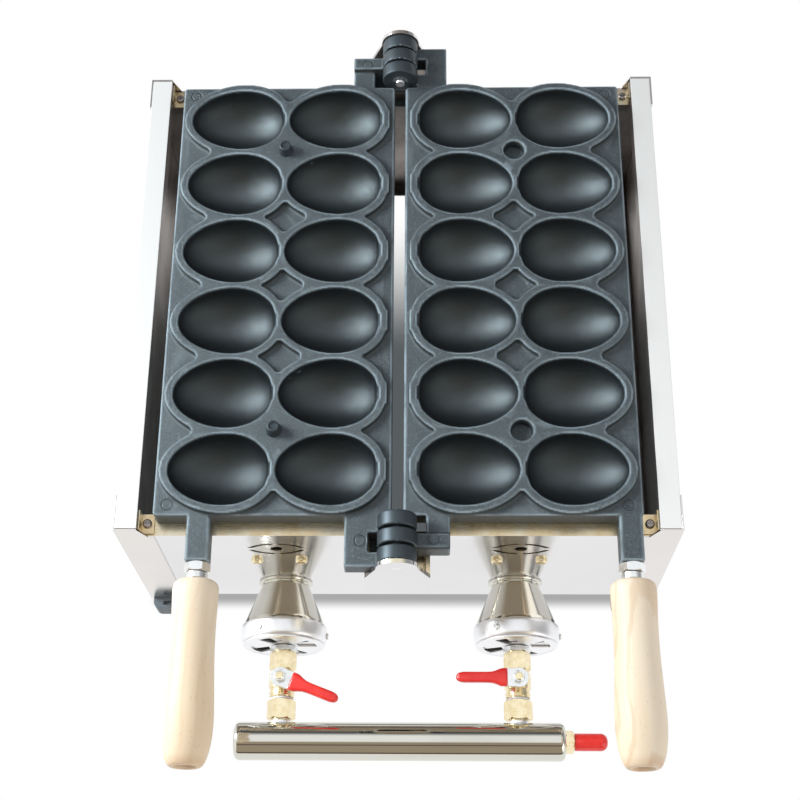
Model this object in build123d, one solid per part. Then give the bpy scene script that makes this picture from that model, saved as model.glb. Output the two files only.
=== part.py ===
from build123d import *
import math
import os

# Frame: X to the right, Y to the back, Z up, millimetres.
# The two moulds hinge about one line along Y, and the feet stand at z = 0.

# General
sheet = 1.2
gap = 0.3
running_fit = 0.05
screw_crown = 0.6
recess_share = 1.1
column_pitch = 78.0
row_pitch = 60.1
columns = 2
rows = 6

# Heights
foot_height = 20.0
panel_bottom = 27.0
flange_top = 172.0
rail_top = 187.5
parting_height = 195.0
hinge_height = parting_height + gap / 2

# Housing
panel_half_width = 202.4
panel_half_depth = 193.4
post_half_width = panel_half_width + sheet
post_half_depth = panel_half_depth + sheet
post_leg = 27.0
rail_width = 16.7
rail_inner = post_half_width - rail_width
flange_width = 16.0
bottom_flange = 12.0
post_step = 6.0

# Corner tabs and their screws
tab_width = 10.5
tab_length = 15.0
tab_rise = 11.0
screw_head_radius = 3.4
screw_head_height = 2.2
screw_shank_radius = 1.9
screw_shank_length = 6.0
drive_width = 0.9
drive_depth = 1.0

# Feet
foot_size = 30.0
foot_edge = 5.0
foot_lower_edge = 2.0
foot_proud = 8.4
foot_inset = 2.1
foot_slot_length = 14.0
foot_slot_width = 3.0
foot_slot_depth = 3.0
foot_screw_radius = 2.4
foot_screw_head = 4.2
foot_counterbore = 12.0

# Egg cavities
egg_half_length = 37.1
egg_half_width = 27.5
egg_skew = 0.1
egg_points = 17
rim_width = 6.2
rim_height = 5.0
wall = 4.0
outer_notch_radius = 4.0
inner_notch_radius = 1.6
notch_share = 0.8
notch_samples = 600
notch_tolerance = 0.001
bridge_reach = 17.0
bridge_half = 2.0
peg_pad_length = 40.0
peg_pad_width = 31.0

# Mould plates
plate_inner = 4.3
plate_outer = 175.6
plate_half_depth = 184.0
plate_corner = 2.5
skin = 6.0
skirt = 5.0
base_face = parting_height - rim_height
skirt_bottom = flange_top + gap
column_middle = 90.4
mark_radius = 4.0
mark_inset_x = 10.4
mark_inset_y = 8.0
mark_depth = 0.4

# Locating pegs and their sockets
peg_row = 2.0
peg_base_radius = 5.6
peg_tip_radius = 4.2
peg_height = 8.0
peg_hollow = 2.2
peg_root = 5.0
peg_edge = 0.8
socket_radius = 8.0
socket_depth = 9.0
socket_chamfer = 0.9
socket_wall = 4.0

# Hinges
barrel_radius = 14.0
barrel_start = 186.0
knuckle_length = 10.8
knuckle_gap = 1.9
knuckle_pitch = knuckle_length + knuckle_gap
barrel_end = barrel_start + 2 * knuckle_pitch + knuckle_length
pin_radius = 4.0
pin_dome = 2.0
lug_outer = 37.6
lug_thickness = 15.0
notch_width = 6.5
lug_reach = 8.4
pad_setback = 1.6
short_lug_end = barrel_start + 2 * knuckle_pitch - pad_setback
pad_rise = 4.4
pad_start = barrel_start + knuckle_pitch

# Hinge brackets
bracket_sheet = 3.0
bracket_gap = 0.5
bracket_half_width = 23.4
bracket_radius = 15.0
bracket_bottom = 138.0
bracket_shoulder = hinge_height - 21.5
bracket_slope_top = hinge_height + 2.0
bracket_slope_half = 13.6
bracket_foot = 14.0
bracket_clearance = 1.5
rivet_radius = 2.4
rivet_head_radius = 4.0
rivet_head_height = 1.6
rivet_margin = 12.0

# Handle arms
left_arm = -142.2
right_arm = 166.0
arm_width = 17.0
arm_top = base_face
arm_bottom = flange_top + 0.7
arm_end = 217.4
arm_edge = 1.6
stud_drop = 0.6
handle_height = (arm_top + arm_bottom) / 2 - stud_drop
stud_radius = 4.0
stud_root = 18.0
lock_nut_flats = 16.5
lock_nut_length = 6.8
ferrule_radius = 7.8
ferrule_length = 6.2
handle_start = arm_end + lock_nut_length + ferrule_length
handle_length = 130.0
handle_shoulder = 16.6
handle_waist = 15.6
handle_belly = 18.0
handle_tip = 12.0
handle_rounding = 4.0
waist_share = 0.25
belly_share = 0.74
counterbore_radius = 7.4
counterbore_depth = 9.0
end_nut_flats = 12.5
end_nut_length = 6.0

# Burners
burner_x = 90.4
burner_height = 57.5
tube_radius = 16.5
tube_wall = 1.5
tube_end = 150.0
port_radius = 1.3
port_pitch = 9.0
port_angle = 26.0
port_first = -150.0
port_count = 32
mouth_radius = 15.0
collar_radius = 21.0
collar_length = 2.6
neck_radius = 18.2
bell_wall = 1.6
bell_shoulder = 31.2
cone_end = 34.0
rim_radius = 33.3
rim_start = 37.0
bell_length = 50.0
face_sheet = 1.5
window_inner = 11.5
window_outer = 26.0
window_half_angle = 21.0
window_count = 4
window_turn = 45.0
window_overreach = 1.6
shutter_turn = 24.0
shutter_radius = 31.5
shutter_sheet = 1.2
jet_radius = 5.0
jet_orifice = 0.6
jet_bore = 2.5
jet_nose = 6.0
jet_inside = 20.0
shutter_nut_flats = 18.5
shutter_nut_length = 4.5
rim_screw_radius = 1.6
rim_screw_head = 2.6
rim_screw_height = 1.4

# Burner supports
hanger_half_width = 24.0
hanger_low = 21.0
hanger_high = 67.0
hanger_sheet = 1.5
hanger_screw_x = 16.7
hanger_screw_rise = 59.0
brass_head_radius = 4.5
brass_head_height = 2.8
rest_width = 20.0
rest_sheet = 2.0
rest_lip = 14.0

# Vent pattern in the front panel
vent_height = 142.0
vent_half_width = 21.4
vent_half_height = 11.0
vent_slot = 3.0
vent_break = 2.2
vent_bridge = 2.2
vent_hole = 4.7

# Gas valves
hex_flats = 18.0
valve_back = 14.4
ball_chamber_radius = 10.2
chamber_length = 21.0
stem_share = 0.44
valve_bore = 4.0
ball_radius = 7.0
ball_flat = 6.0
ball_bore = 3.5
stem_radius = 3.0
bonnet_radius = 6.0
bonnet_top = 17.4
lever_low = 18.6
lever_sheet = 2.0
lever_head_radius = 7.5
strap_width = 6.0
strap_length = 43.0
sleeve_start = 8.6
sleeve_full = 20.0
sleeve_wide = 14.0
sleeve_narrow = 8.0
sleeve_length = 47.5
sleeve_thickness = 6.0
sleeve_edge = 1.2
stem_nut_flats = 8.0
stem_nut_height = 3.6
stem_tip = 0.9
left_lever_angle = -21.4
right_lever_angle = 180.0

# Manifold
manifold_depth = 124.6
manifold_radius = 14.3
manifold_wall = 2.0
manifold_half = 119.0
manifold_cap = 6.0
cap_edge = 4.0
branch_radius = 7.2
branch_bore = 4.0
union_length = 15.0
union_gap = 2.0
union_flats = 19.0
thread_radius = 8.4
inlet_flats = 15.0
inlet_hex_length = 6.5
nipple_radius = 4.9
nipple_bore = 3.0
nipple_length = 17.0
cap_wall = 1.6
gas_cap_length = 25.0
gas_cap_seat = 0.5
gas_cap_dome = 0.8

# Places measured along Y from the panel's outer face
panel_face = -panel_half_depth
shutter_start = bell_length + gap
shutter_end = shutter_start + shutter_sheet
nut_start = shutter_end + gap
valve_start = nut_start + shutter_nut_length
chamber_start = valve_start + valve_back
stem_place = chamber_start + chamber_length * stem_share
union_start = chamber_start + chamber_length + union_gap
union_end = union_start + union_length
inlet_start = manifold_half + manifold_cap
gas_cap_start = inlet_start + inlet_hex_length + gas_cap_seat

# The finished part is moved along Y so that the origin is below the middle of its box
front_end = -(handle_start + handle_length)
back_end = barrel_end + bracket_gap + bracket_sheet
y_shift = -(front_end + back_end) / 2


def box(x0, x1, y0, y1, z0, z1):
    size = (abs(x1 - x0), abs(y1 - y0), abs(z1 - z0))
    middle = ((x0 + x1) / 2, (y0 + y1) / 2, (z0 + z1) / 2)
    return Pos(*middle) * Box(*size)


def rod_y(x, z, radius, y0, y1):
    return Pos(x, (y0 + y1) / 2, z) * Rot(90, 0, 0) * Cylinder(radius, abs(y1 - y0))


def rod_x(y, z, radius, x0, x1):
    return Pos((x0 + x1) / 2, y, z) * Rot(0, 90, 0) * Cylinder(radius, abs(x1 - x0))


def rod_z(x, y, radius, z0, z1):
    return Pos(x, y, (z0 + z1) / 2) * Cylinder(radius, abs(z1 - z0))


def hex_y(x, z, flats, y0, y1):
    outline = RegularPolygon(flats / 2, 6, major_radius=False)
    return Pos(x, max(y0, y1), z) * Rot(90, 0, 0) * extrude(outline, abs(y1 - y0))


def hex_x(y, z, flats, x0, x1):
    outline = RegularPolygon(flats / 2, 6, major_radius=False)
    return Pos(min(x0, x1), y, z) * Rot(0, 90, 0) * extrude(outline, abs(x1 - x0))


def hex_z(x, y, flats, z0, z1):
    outline = RegularPolygon(flats / 2, 6, major_radius=False)
    return Pos(x, y, z0) * extrude(outline, z1 - z0)


def out(distance):
    # a place in front of the panel's outer face
    return panel_face - distance


def turned(points, x, z):
    # a solid of revolution about a line along Y, from (radius, y) points
    outline = make_face(Polyline(*[(r, y) for r, y in points], close=True))
    return Pos(x, 0, z) * revolve(outline, Axis.Y)


# Sheet metal housing

def vent_slots(x):
    rise = vent_half_height
    radius = (vent_half_width ** 2 + rise ** 2) / (2 * rise)
    half = vent_slot / 2
    depth = flange_width
    cuts = Pos(x, panel_face, vent_height) * Rot(90, 0, 0) * Cylinder(vent_hole, depth)
    for side in (-1, 1):
        middle = vent_height - side * (radius - rise)
        ring = rod_y(x, middle, radius + half, panel_face - sheet, panel_face + depth)
        ring -= rod_y(x, middle, radius - half, panel_face - sheet, panel_face + depth)
        reach = vent_half_width
        low = vent_height + side * vent_bridge
        high = vent_height + side * (rise + vent_slot)
        keep = box(x - reach, x - vent_break, panel_face - sheet, panel_face + depth, low, high)
        keep += box(x + vent_break, x + reach, panel_face - sheet, panel_face + depth, low, high)
        cuts += ring & keep
    return cuts


def cross_panel(side):
    # a folded panel across the machine, side -1 at the front and 1 at the back
    face = side * panel_half_depth
    inner = side * (panel_half_depth - sheet)
    half = panel_half_width - sheet - gap
    top_half = rail_inner - gap
    shape = box(-half, half, face, inner, panel_bottom, flange_top)
    lip = side * (panel_half_depth - flange_width)
    foot = side * (panel_half_depth - bottom_flange)
    shape += box(-top_half, top_half, face, lip, flange_top - sheet, flange_top)
    shape += box(-half, half, face, foot, panel_bottom, panel_bottom + sheet)
    hem = side * (panel_half_depth - flange_width + sheet)
    shape += box(-top_half, top_half, lip, hem, flange_top - flange_width / 2, flange_top)
    relief = bracket_half_width + bracket_clearance
    shape -= box(-relief, relief, lip - side, face - side * sheet, flange_top - flange_width, flange_top + 1)
    return shape


def front_panel():
    shape = cross_panel(-1)
    for x in (-burner_x, burner_x):
        shape -= rod_y(x, burner_height, mouth_radius, panel_face - 1, panel_face + sheet + 1)
        shape -= vent_slots(x)
        for dx in (-hanger_screw_x, hanger_screw_x):
            height = burner_height + hanger_screw_rise
            shape -= rod_y(x + dx, height, screw_shank_radius, panel_face - 1, panel_face + sheet + 1)
    return shape - tab_screw_holes() - rivet_holes(-1)


def rear_panel():
    return cross_panel(1) - tab_screw_holes() - rivet_holes(1)


def side_panel(side):
    # a side panel whose top is folded over into a rail
    face = side * panel_half_width
    inner = side * (panel_half_width - sheet)
    end = panel_half_depth - gap
    shape = box(face, inner, -end, end, panel_bottom, rail_top)
    rail = side * rail_inner
    lip = side * (rail_inner + sheet)
    shape += box(face, rail, -end, end, rail_top - sheet, rail_top)
    shape += box(rail, lip, -end, end, flange_top, rail_top)
    foot = side * (panel_half_width - bottom_flange)
    room = panel_half_depth - bottom_flange - gap
    shape += box(face, foot, -room, room, panel_bottom, panel_bottom + sheet)
    return shape


def corner_post(sx, sy):
    x_out = sx * post_half_width
    y_out = sy * post_half_depth
    x_in = sx * (post_half_width - post_leg)
    y_in = sy * (post_half_depth - post_leg)
    x_face = sx * panel_half_width
    y_face = sy * panel_half_depth
    shape = box(x_out, x_face, y_out, y_in, foot_height, rail_top)
    shape += box(x_out, x_in, y_out, y_face, foot_height, rail_top)
    shape += box(x_out, x_in, y_out, y_in, foot_height, foot_height + sheet)
    step = sx * rail_inner
    cut = box(step - sx * post_step, x_in - sx, y_out + sy, y_face - sy, flange_top, rail_top + 1)
    rise = rail_top - flange_top
    wedge = Polyline(
        (step, rail_top + 1),
        (step, rail_top),
        (step - sx * post_step, flange_top),
        (step - sx * post_step, rail_top + 1),
        close=True,
    )
    slope = extrude(Plane.XZ * make_face(wedge), rise, both=True)
    cut += Pos(0, sy * (panel_half_depth + sheet / 2), 0) * slope
    shape -= cut
    place = foot_middle(sx, sy)
    shape -= rod_z(*place, foot_screw_radius, foot_height - 1, foot_height + sheet + 1)
    return shape


def corners():
    return [(sx, sy) for sy in (-1, 1) for sx in (-1, 1)]


def corner_posts():
    return [corner_post(sx, sy) for sx, sy in corners()]


def tab_middle(sx, sy):
    x = sx * (rail_inner - tab_width / 2)
    y = sy * (panel_half_depth - 1 - tab_length / 2)
    return x, y


def tab_screw_holes():
    holes = None
    for sx, sy in corners():
        x, y = tab_middle(sx, sy)
        hole = rod_z(x, y, screw_shank_radius, flange_top - screw_shank_length - 1, flange_top + 1)
        holes = hole if holes is None else holes + hole
    return holes


def corner_tab(sx, sy):
    # an angle on the flange that ties the rail to the cross panel
    x, y = tab_middle(sx, sy)
    rail = sx * rail_inner
    inner = sx * (rail_inner - tab_width)
    lip = sx * (rail_inner - sheet)
    low = y - tab_length / 2
    high = y + tab_length / 2
    shape = box(rail, inner, low, high, flange_top, flange_top + sheet)
    shape += box(rail, lip, low, high, flange_top, flange_top + tab_rise)
    shape -= rod_z(x, y, screw_shank_radius, flange_top - 1, flange_top + sheet + 1)
    return shape


def corner_tabs():
    return [corner_tab(sx, sy) for sx, sy in corners()]


def pan_screw(radius, height, shank, length):
    # a screw along Z with its seat at z = 0 and a cross recess
    head = Cylinder(radius, height, align=(Align.CENTER, Align.CENTER, Align.MIN))
    head = fillet(head.edges().group_by(Axis.Z)[-1], height * screw_crown)
    shape = head + Pos(0, 0, -length / 2) * Cylinder(shank, length)
    for turn in (0, 90):
        recess = Box(radius * recess_share, drive_width, 2 * drive_depth)
        shape -= Pos(0, 0, height) * Rot(0, 0, turn) * recess
    return shape


def corner_screws():
    screws = []
    for sx, sy in corners():
        x, y = tab_middle(sx, sy)
        screw = pan_screw(screw_head_radius, screw_head_height, screw_shank_radius, screw_shank_length)
        screws.append(Pos(x, y, flange_top + sheet) * screw)
    return screws


def foot_middle(sx, sy):
    x = sx * (post_half_width - foot_inset - foot_size / 2)
    y = sy * (post_half_depth + foot_proud - foot_size / 2)
    return x, y


def foot(sx, sy):
    x, y = foot_middle(sx, sy)
    shape = Pos(x, y, foot_height / 2) * Box(foot_size, foot_size, foot_height)
    shape = fillet(shape.edges().filter_by(Axis.Z), foot_edge)
    shape = fillet(shape.edges().group_by(Axis.Z)[0], foot_lower_edge)
    front = y + sy * (foot_size / 2 - foot_proud / 2)
    slot = Box(foot_slot_length, foot_slot_width, foot_slot_depth * 2)
    shape -= Pos(x, front, foot_height) * slot
    shape -= rod_z(x, y, foot_screw_radius, -1, foot_height + 1)
    shape -= rod_z(x, y, foot_screw_head, -1, foot_counterbore)
    return shape


def rubber_feet():
    return [foot(sx, sy) for sx, sy in corners()]


def foot_screws():
    screws = []
    for sx, sy in corners():
        x, y = foot_middle(sx, sy)
        length = foot_height - foot_counterbore + sheet + foot_screw_radius
        screw = pan_screw(foot_screw_head, foot_screw_radius, foot_screw_radius, length)
        screws.append(Pos(x, y, foot_counterbore) * Rot(180, 0, 0) * screw)
    return screws


# Hinge brackets and pins

def rivet_places():
    places = []
    middle = bracket_half_width + bracket_foot / 2
    for x in (-middle, middle):
        for z in (bracket_bottom + rivet_margin / 2, bracket_shoulder - rivet_margin):
            places.append((x, z))
    return places


def rivet_holes(side):
    holes = None
    face = side * panel_half_depth
    for x, z in rivet_places():
        hole = rod_y(x, z, rivet_radius, face - sheet * 2, face + sheet * 2)
        holes = hole if holes is None else holes + hole
    return holes


def hinge_bracket(side):
    back = barrel_end + bracket_gap
    front = back + bracket_sheet
    outline = Polyline(
        (-bracket_half_width, bracket_bottom),
        (-bracket_half_width, bracket_shoulder),
        (-bracket_slope_half, bracket_slope_top),
        (bracket_slope_half, bracket_slope_top),
        (bracket_half_width, bracket_shoulder),
        (bracket_half_width, bracket_bottom),
        close=True,
    )
    face = extrude(Plane.XZ * make_face(outline), -bracket_sheet)
    shape = Pos(0, back, 0) * face
    shape += rod_y(0, hinge_height, bracket_radius, back, front)
    for sx in (-1, 1):
        outer = sx * bracket_half_width
        inner = sx * (bracket_half_width - bracket_sheet)
        top = bracket_shoulder
        shape += box(outer, inner, panel_half_depth, front, bracket_bottom, top)
        ear = sx * (bracket_half_width + bracket_foot)
        ear_top = bracket_shoulder - bracket_foot / 3
        foot_face = panel_half_depth + bracket_sheet / 2
        shape += box(inner, ear, panel_half_depth, foot_face, bracket_bottom, ear_top)
    for x, z in rivet_places():
        shape -= rod_y(x, z, rivet_radius, panel_half_depth - 1, panel_half_depth + bracket_sheet)
    shape -= rod_y(0, hinge_height, pin_radius, back - 1, front + 1)
    if side < 0:
        shape = mirror(shape, Plane.XZ)
    return shape


def bracket_rivets():
    rivets = []
    for side in (-1, 1):
        seat = panel_half_depth + bracket_sheet / 2
        inner = panel_half_depth - sheet
        for x, z in rivet_places():
            rivet = rod_y(x, z, rivet_radius, side * inner, side * seat)
            head = rod_y(x, z, rivet_head_radius, side * seat, side * (seat + rivet_head_height))
            tail = rod_y(x, z, rivet_head_radius, side * inner, side * (inner - rivet_head_height / 2))
            rivets.append(rivet + head + tail)
    return rivets


def hinge_pin(side):
    tail = barrel_end + bracket_gap + bracket_sheet
    nose = barrel_start - 1.0
    pin = rod_y(0, hinge_height, pin_radius, side * nose, side * tail)
    dome = Pos(0, side * nose, hinge_height) * Rot(90, 0, 0) * Sphere(pin_radius)
    room = box(-pin_radius, pin_radius, side * nose, side * (nose - pin_dome), 0, rail_top + post_leg)
    return pin + (dome & room)


# Egg cavities and mould plates

def egg_radius(along, length, width):
    # the egg's half width at a place along its length, blunt toward the positive end
    share = along / length
    return width * math.sqrt(max(0.0, 1 - share ** 2)) * (1 + egg_skew * share)


def egg_outline(grow):
    length = egg_half_length + grow
    width = egg_half_width + grow
    points = []
    for step in range(egg_points):
        angle = math.pi * step / (egg_points - 1)
        along = -length * math.cos(angle)
        points.append((along, egg_radius(along, length, width)))
    return Spline(*points, tangents=[(0, 1), (0, -1)])


def egg_solid(grow):
    curve = egg_outline(grow)
    length = egg_half_length + grow
    outline = make_face([curve, Line((-length, 0), (length, 0))])
    return revolve(outline, Axis.X)


def egg_face(grow):
    curve = egg_outline(grow)
    return make_face([curve, mirror(curve, Plane.XZ)])


def egg_places():
    # the middles of one plate's cavities, as for the plate on the left
    places = []
    for column in range(columns):
        x = -column_middle + (column - (columns - 1) / 2) * column_pitch
        for row in range(rows):
            places.append((x, ((rows - 1) / 2 - row) * row_pitch))
    return places


def notch_middle(side, radius):
    # how far from an egg's middle a round of this radius touches both its rim and the next row's
    length = egg_half_length + rim_width
    width = egg_half_width + rim_width
    low, high = 0.0, length
    while high - low > notch_tolerance:
        middle = (low + high) / 2
        near = length
        for step in range(notch_samples):
            along = side * length * math.cos(math.pi / 2 * step / notch_samples)
            near = min(near, math.hypot(along - side * middle, row_pitch / 2 - egg_radius(along, length, width)))
        if near > radius:
            high = middle
        else:
            low = middle
    return low


def rim_sheet():
    # the raised rims from above, with the notch between one row and the next rounded out
    shape = Sketch()
    for x, y in egg_places():
        shape += Pos(x, y) * egg_face(rim_width)
    for side, radius in ((-1, outer_notch_radius), (1, inner_notch_radius)):
        reach = notch_middle(side, radius)
        fill = Pos(side * reach / 2, 0) * Rectangle(reach, 2 * radius * notch_share)
        fill -= Pos(side * reach, 0) * Circle(radius)
        for x, y in egg_places():
            if y > -(rows - 1) / 2 * row_pitch:
                shape += Pos(x, y - row_pitch / 2) * fill
    for row in range(rows):
        y = ((rows - 1) / 2 - row) * row_pitch
        shape += Pos(-column_middle, y) * Rectangle(2 * bridge_half, 2 * bridge_reach)
    for side in (-1, 1):
        y = side * peg_row * row_pitch
        shape += Pos(-column_middle, y) * Rectangle(peg_pad_length, peg_pad_width)
    return shape


def knuckle(index, side):
    start = barrel_start + index * knuckle_pitch
    ends = (side * start, side * (start + knuckle_length))
    return rod_y(0, hinge_height, barrel_radius, *ends)


def lug_long(side):
    # the lug that carries the first and third knuckles, on the plate's left end
    low = base_face - lug_thickness
    inner = -lug_reach
    shape = box(-lug_outer, inner, side * (plate_half_depth - 1), side * barrel_end, low, base_face)
    clear = side * (barrel_start + knuckle_pitch - knuckle_gap)
    clear_end = side * (barrel_start + 2 * knuckle_pitch)
    shape -= box(-barrel_radius - notch_width, 0, clear, clear_end, low - 1, parting_height)
    shape -= box(-barrel_radius, 0, 0, side * barrel_start, low - 1, parting_height + 1)
    for index in (0, 2):
        shape += knuckle(index, side)
    return shape


def lug_short(side):
    # the lug that carries the middle knuckle, with a raised pad
    low = base_face - lug_thickness
    inner = -lug_reach
    end = side * short_lug_end
    shape = box(-lug_outer, inner, side * (plate_half_depth - 1), end, low, base_face)
    clear_end = side * (barrel_start + knuckle_pitch)
    shape -= box(-barrel_radius - notch_width, 0, 0, clear_end, low - 1, parting_height)
    shape += box(-lug_outer, -barrel_radius, side * pad_start, end, low, base_face + pad_rise)
    return shape + knuckle(1, side)


def plate_shell():
    # the plate with its skirt, open below
    outer = box(-plate_outer, -plate_inner, -plate_half_depth, plate_half_depth, skirt_bottom, base_face)
    outer = fillet(outer.edges().filter_by(Axis.Z), plate_corner)
    hollow = box(
        -plate_outer + skirt,
        -plate_inner - skirt,
        -plate_half_depth + skirt,
        plate_half_depth - skirt,
        skirt_bottom - 1,
        base_face - skin,
    )
    return outer - hollow


def handle_arm(x):
    half = arm_width / 2
    shape = box(x - half, x + half, -arm_end, -plate_half_depth + 1, arm_bottom, arm_top)
    shape = fillet(shape.edges().filter_by(Axis.Y), arm_edge)
    reach = arm_end - stud_root
    return shape, rod_y(x, handle_height, stud_radius, -arm_end - 1, -reach)


def mould_plate(flip):
    # one casting, modelled as the left one; the right one is its mirror image with the lugs changed over
    shape = plate_shell()
    bumps = egg_solid(wall)
    lower = -egg_half_width - wall - 1
    bumps &= box(-column_pitch, column_pitch, -column_pitch, column_pitch, lower, -rim_height)
    for x, y in egg_places():
        shape += Pos(x, y, parting_height) * bumps
    rims = extrude(rim_sheet(), rim_height)
    shape += Pos(0, 0, base_face) * rims
    cavity = egg_solid(0)
    for x, y in egg_places():
        shape -= Pos(x, y, parting_height) * cavity
    ends = (-1, 1) if flip else (1, -1)
    shape += lug_short(ends[0])
    shape += lug_long(ends[1])
    for side in (-1, 1):
        shape -= rod_y(0, hinge_height, pin_radius + running_fit, side * (barrel_start - 3), side * (barrel_end + 1))
    return shape


def ejector_marks():
    # shallow round marks on the corners and lugs
    marks = None
    reach_x = plate_outer - mark_inset_x
    reach_y = plate_half_depth - mark_inset_y
    for side in (-1, 1):
        corner = rod_z(-reach_x, side * reach_y, mark_radius, base_face - mark_depth, base_face + mark_depth)
        marks = corner if marks is None else marks + corner
    return marks


def left_mould_plate():
    shape = mould_plate(False)
    arm, bore = handle_arm(left_arm)
    shape += arm
    shape -= bore
    shape -= ejector_marks()
    for side in (-1, 1):
        place = (-column_middle, side * peg_row * row_pitch)
        shape -= rod_z(*place, peg_tip_radius + running_fit, parting_height - peg_root, parting_height + 1)
    return shape


def right_mould_plate():
    shape = mould_plate(True)
    arm, bore = handle_arm(-right_arm)
    shape += arm
    shape -= bore
    shape -= ejector_marks()
    for side in (-1, 1):
        place = (-column_middle, side * peg_row * row_pitch)
        low = parting_height - socket_depth
        boss_low = low - socket_wall
        shape += rod_z(*place, socket_radius + socket_wall, boss_low, base_face - skin + 1)
        shape -= rod_z(*place, socket_radius, low, parting_height + 1)
        mouth = Cone(socket_radius, socket_radius + socket_chamfer, socket_chamfer)
        shape -= Pos(*place, parting_height - socket_chamfer / 2) * mouth
    return mirror(shape, Plane.YZ)


def locating_pegs():
    pegs = []
    for side in (-1, 1):
        place = (-column_middle, side * peg_row * row_pitch)
        body = Cone(peg_base_radius, peg_tip_radius, peg_height)
        body = Pos(0, 0, peg_height / 2) * body
        body = fillet(body.edges().group_by(Axis.Z)[-1], peg_edge)
        body += Pos(0, 0, -peg_root / 2) * Cylinder(peg_tip_radius, peg_root)
        body -= Pos(0, 0, peg_height) * Cylinder(peg_hollow, peg_height)
        pegs.append(Pos(*place, parting_height) * body)
    return pegs


# Handles

def handle(x):
    tail = handle_start + handle_length
    waist = handle_start + handle_length * waist_share
    belly = handle_start + handle_length * belly_share
    shoulder_out = handle_shoulder - handle_rounding
    tip_out = handle_tip - handle_rounding / 2
    bore = stud_radius
    curve = Spline(
        (handle_shoulder, -handle_start - handle_rounding),
        (handle_waist, -waist),
        (handle_belly, -belly),
        (handle_tip, -tail + handle_rounding / 2),
    )
    start_arc = Spline(
        (shoulder_out, -handle_start),
        (handle_shoulder, -handle_start - handle_rounding),
        tangents=[(1, 0), (0, -1)],
    )
    end_arc = Line((handle_tip, -tail + handle_rounding / 2), (tip_out, -tail))
    inner = Polyline(
        (tip_out, -tail),
        (bore, -tail),
        (bore, -handle_start),
        (shoulder_out, -handle_start),
    )
    outline = make_face([start_arc, curve, end_arc, inner])
    shape = revolve(outline, Axis.Y)
    shape -= rod_y(0, 0, counterbore_radius, -tail - 1, -tail + counterbore_depth)
    return Pos(x, 0, handle_height) * shape


def handle_stud(x):
    start = arm_end - stud_root
    tail = handle_start + handle_length - counterbore_depth + end_nut_length + 1
    return rod_y(x, handle_height, stud_radius, -start, -tail)


def lock_nut(x):
    end = arm_end + lock_nut_length
    shape = hex_y(x, handle_height, lock_nut_flats, -arm_end, -end)
    return shape - rod_y(x, handle_height, stud_radius, -arm_end + 1, -end - 1)


def ferrule(x):
    start = arm_end + lock_nut_length
    shape = rod_y(x, handle_height, ferrule_radius, -start, -handle_start)
    return shape - rod_y(x, handle_height, stud_radius, -start + 1, -handle_start - 1)


def end_nut(x):
    seat = handle_start + handle_length - counterbore_depth
    end = seat + end_nut_length
    shape = hex_y(x, handle_height, end_nut_flats, -seat, -end)
    return shape - rod_y(x, handle_height, stud_radius, -seat + 1, -end - 1)


# Burners

def burner_tube(x):
    start = panel_face + sheet
    shape = rod_y(x, burner_height, tube_radius, start, tube_end)
    shape -= rod_y(x, burner_height, tube_radius - tube_wall, start - 1, tube_end - tube_wall)
    for step in range(port_count):
        y = port_first + step * port_pitch
        for angle in (-port_angle, port_angle):
            port = Pos(0, 0, tube_radius) * Cylinder(port_radius, 3 * tube_wall)
            shape -= Pos(x, y, burner_height) * Rot(0, angle, 0) * port
    return shape


def burner_hanger(x):
    start = panel_face + sheet
    end = start + hanger_sheet
    low = burner_height - hanger_low
    high = burner_height + hanger_high
    shape = box(x - hanger_half_width, x + hanger_half_width, start, end, low, high)
    shape -= rod_y(x, burner_height, tube_radius, start - 1, end + 1)
    for dx in (-hanger_screw_x, hanger_screw_x):
        height = burner_height + hanger_screw_rise
        shape -= rod_y(x + dx, height, screw_shank_radius, start - 1, end + 1)
    return shape


def burner_hangers():
    return [burner_hanger(-burner_x), burner_hanger(burner_x)]


def hanger_screws():
    screws = []
    for x in (-burner_x, burner_x):
        for dx in (-hanger_screw_x, hanger_screw_x):
            length = sheet + hanger_sheet + 2
            screw = pan_screw(brass_head_radius, brass_head_height, screw_shank_radius, length)
            height = burner_height + hanger_screw_rise
            screws.append(Pos(x + dx, panel_face, height) * Rot(90, 0, 0) * screw)
    return screws


def burner_rest(x):
    # a bent strip from the rear panel's foot flange up to the tube's closed end
    half = rest_width / 2
    wall_face = panel_half_depth - sheet
    shelf = burner_height + tube_radius
    low = panel_bottom + sheet
    seat = tube_end + rest_sheet
    top = burner_height - tube_radius - gap
    shape = box(x - half, x + half, wall_face, wall_face - rest_sheet, low, shelf)
    shape += box(x - half, x + half, wall_face, tube_end - rest_lip, top - rest_sheet, top)
    shape += box(x - half, x + half, tube_end, seat, top - rest_sheet, shelf - rest_lip)
    return shape


def burner_rests():
    return [burner_rest(-burner_x), burner_rest(burner_x)]


def sector_windows(x, start, end, turn):
    # the air windows, cut through from start to end along Y
    cuts = None
    reach = window_outer * window_overreach
    rise = reach * math.tan(math.radians(window_half_angle))
    for index in range(window_count):
        wedge = make_face(Polyline((0, 0), (reach, -rise), (reach, rise), close=True))
        wedge = extrude(Plane.XZ * wedge, -abs(end - start))
        angle = turn + index * 360 / window_count
        cut = Rot(0, angle, 0) * wedge
        cuts = cut if cuts is None else cuts + cut
    ring = rod_y(0, 0, window_outer, 0, abs(end - start))
    ring -= rod_y(0, 0, window_inner, -1, abs(end - start) + 1)
    return Pos(x, min(start, end), burner_height) * (cuts & ring)


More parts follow.
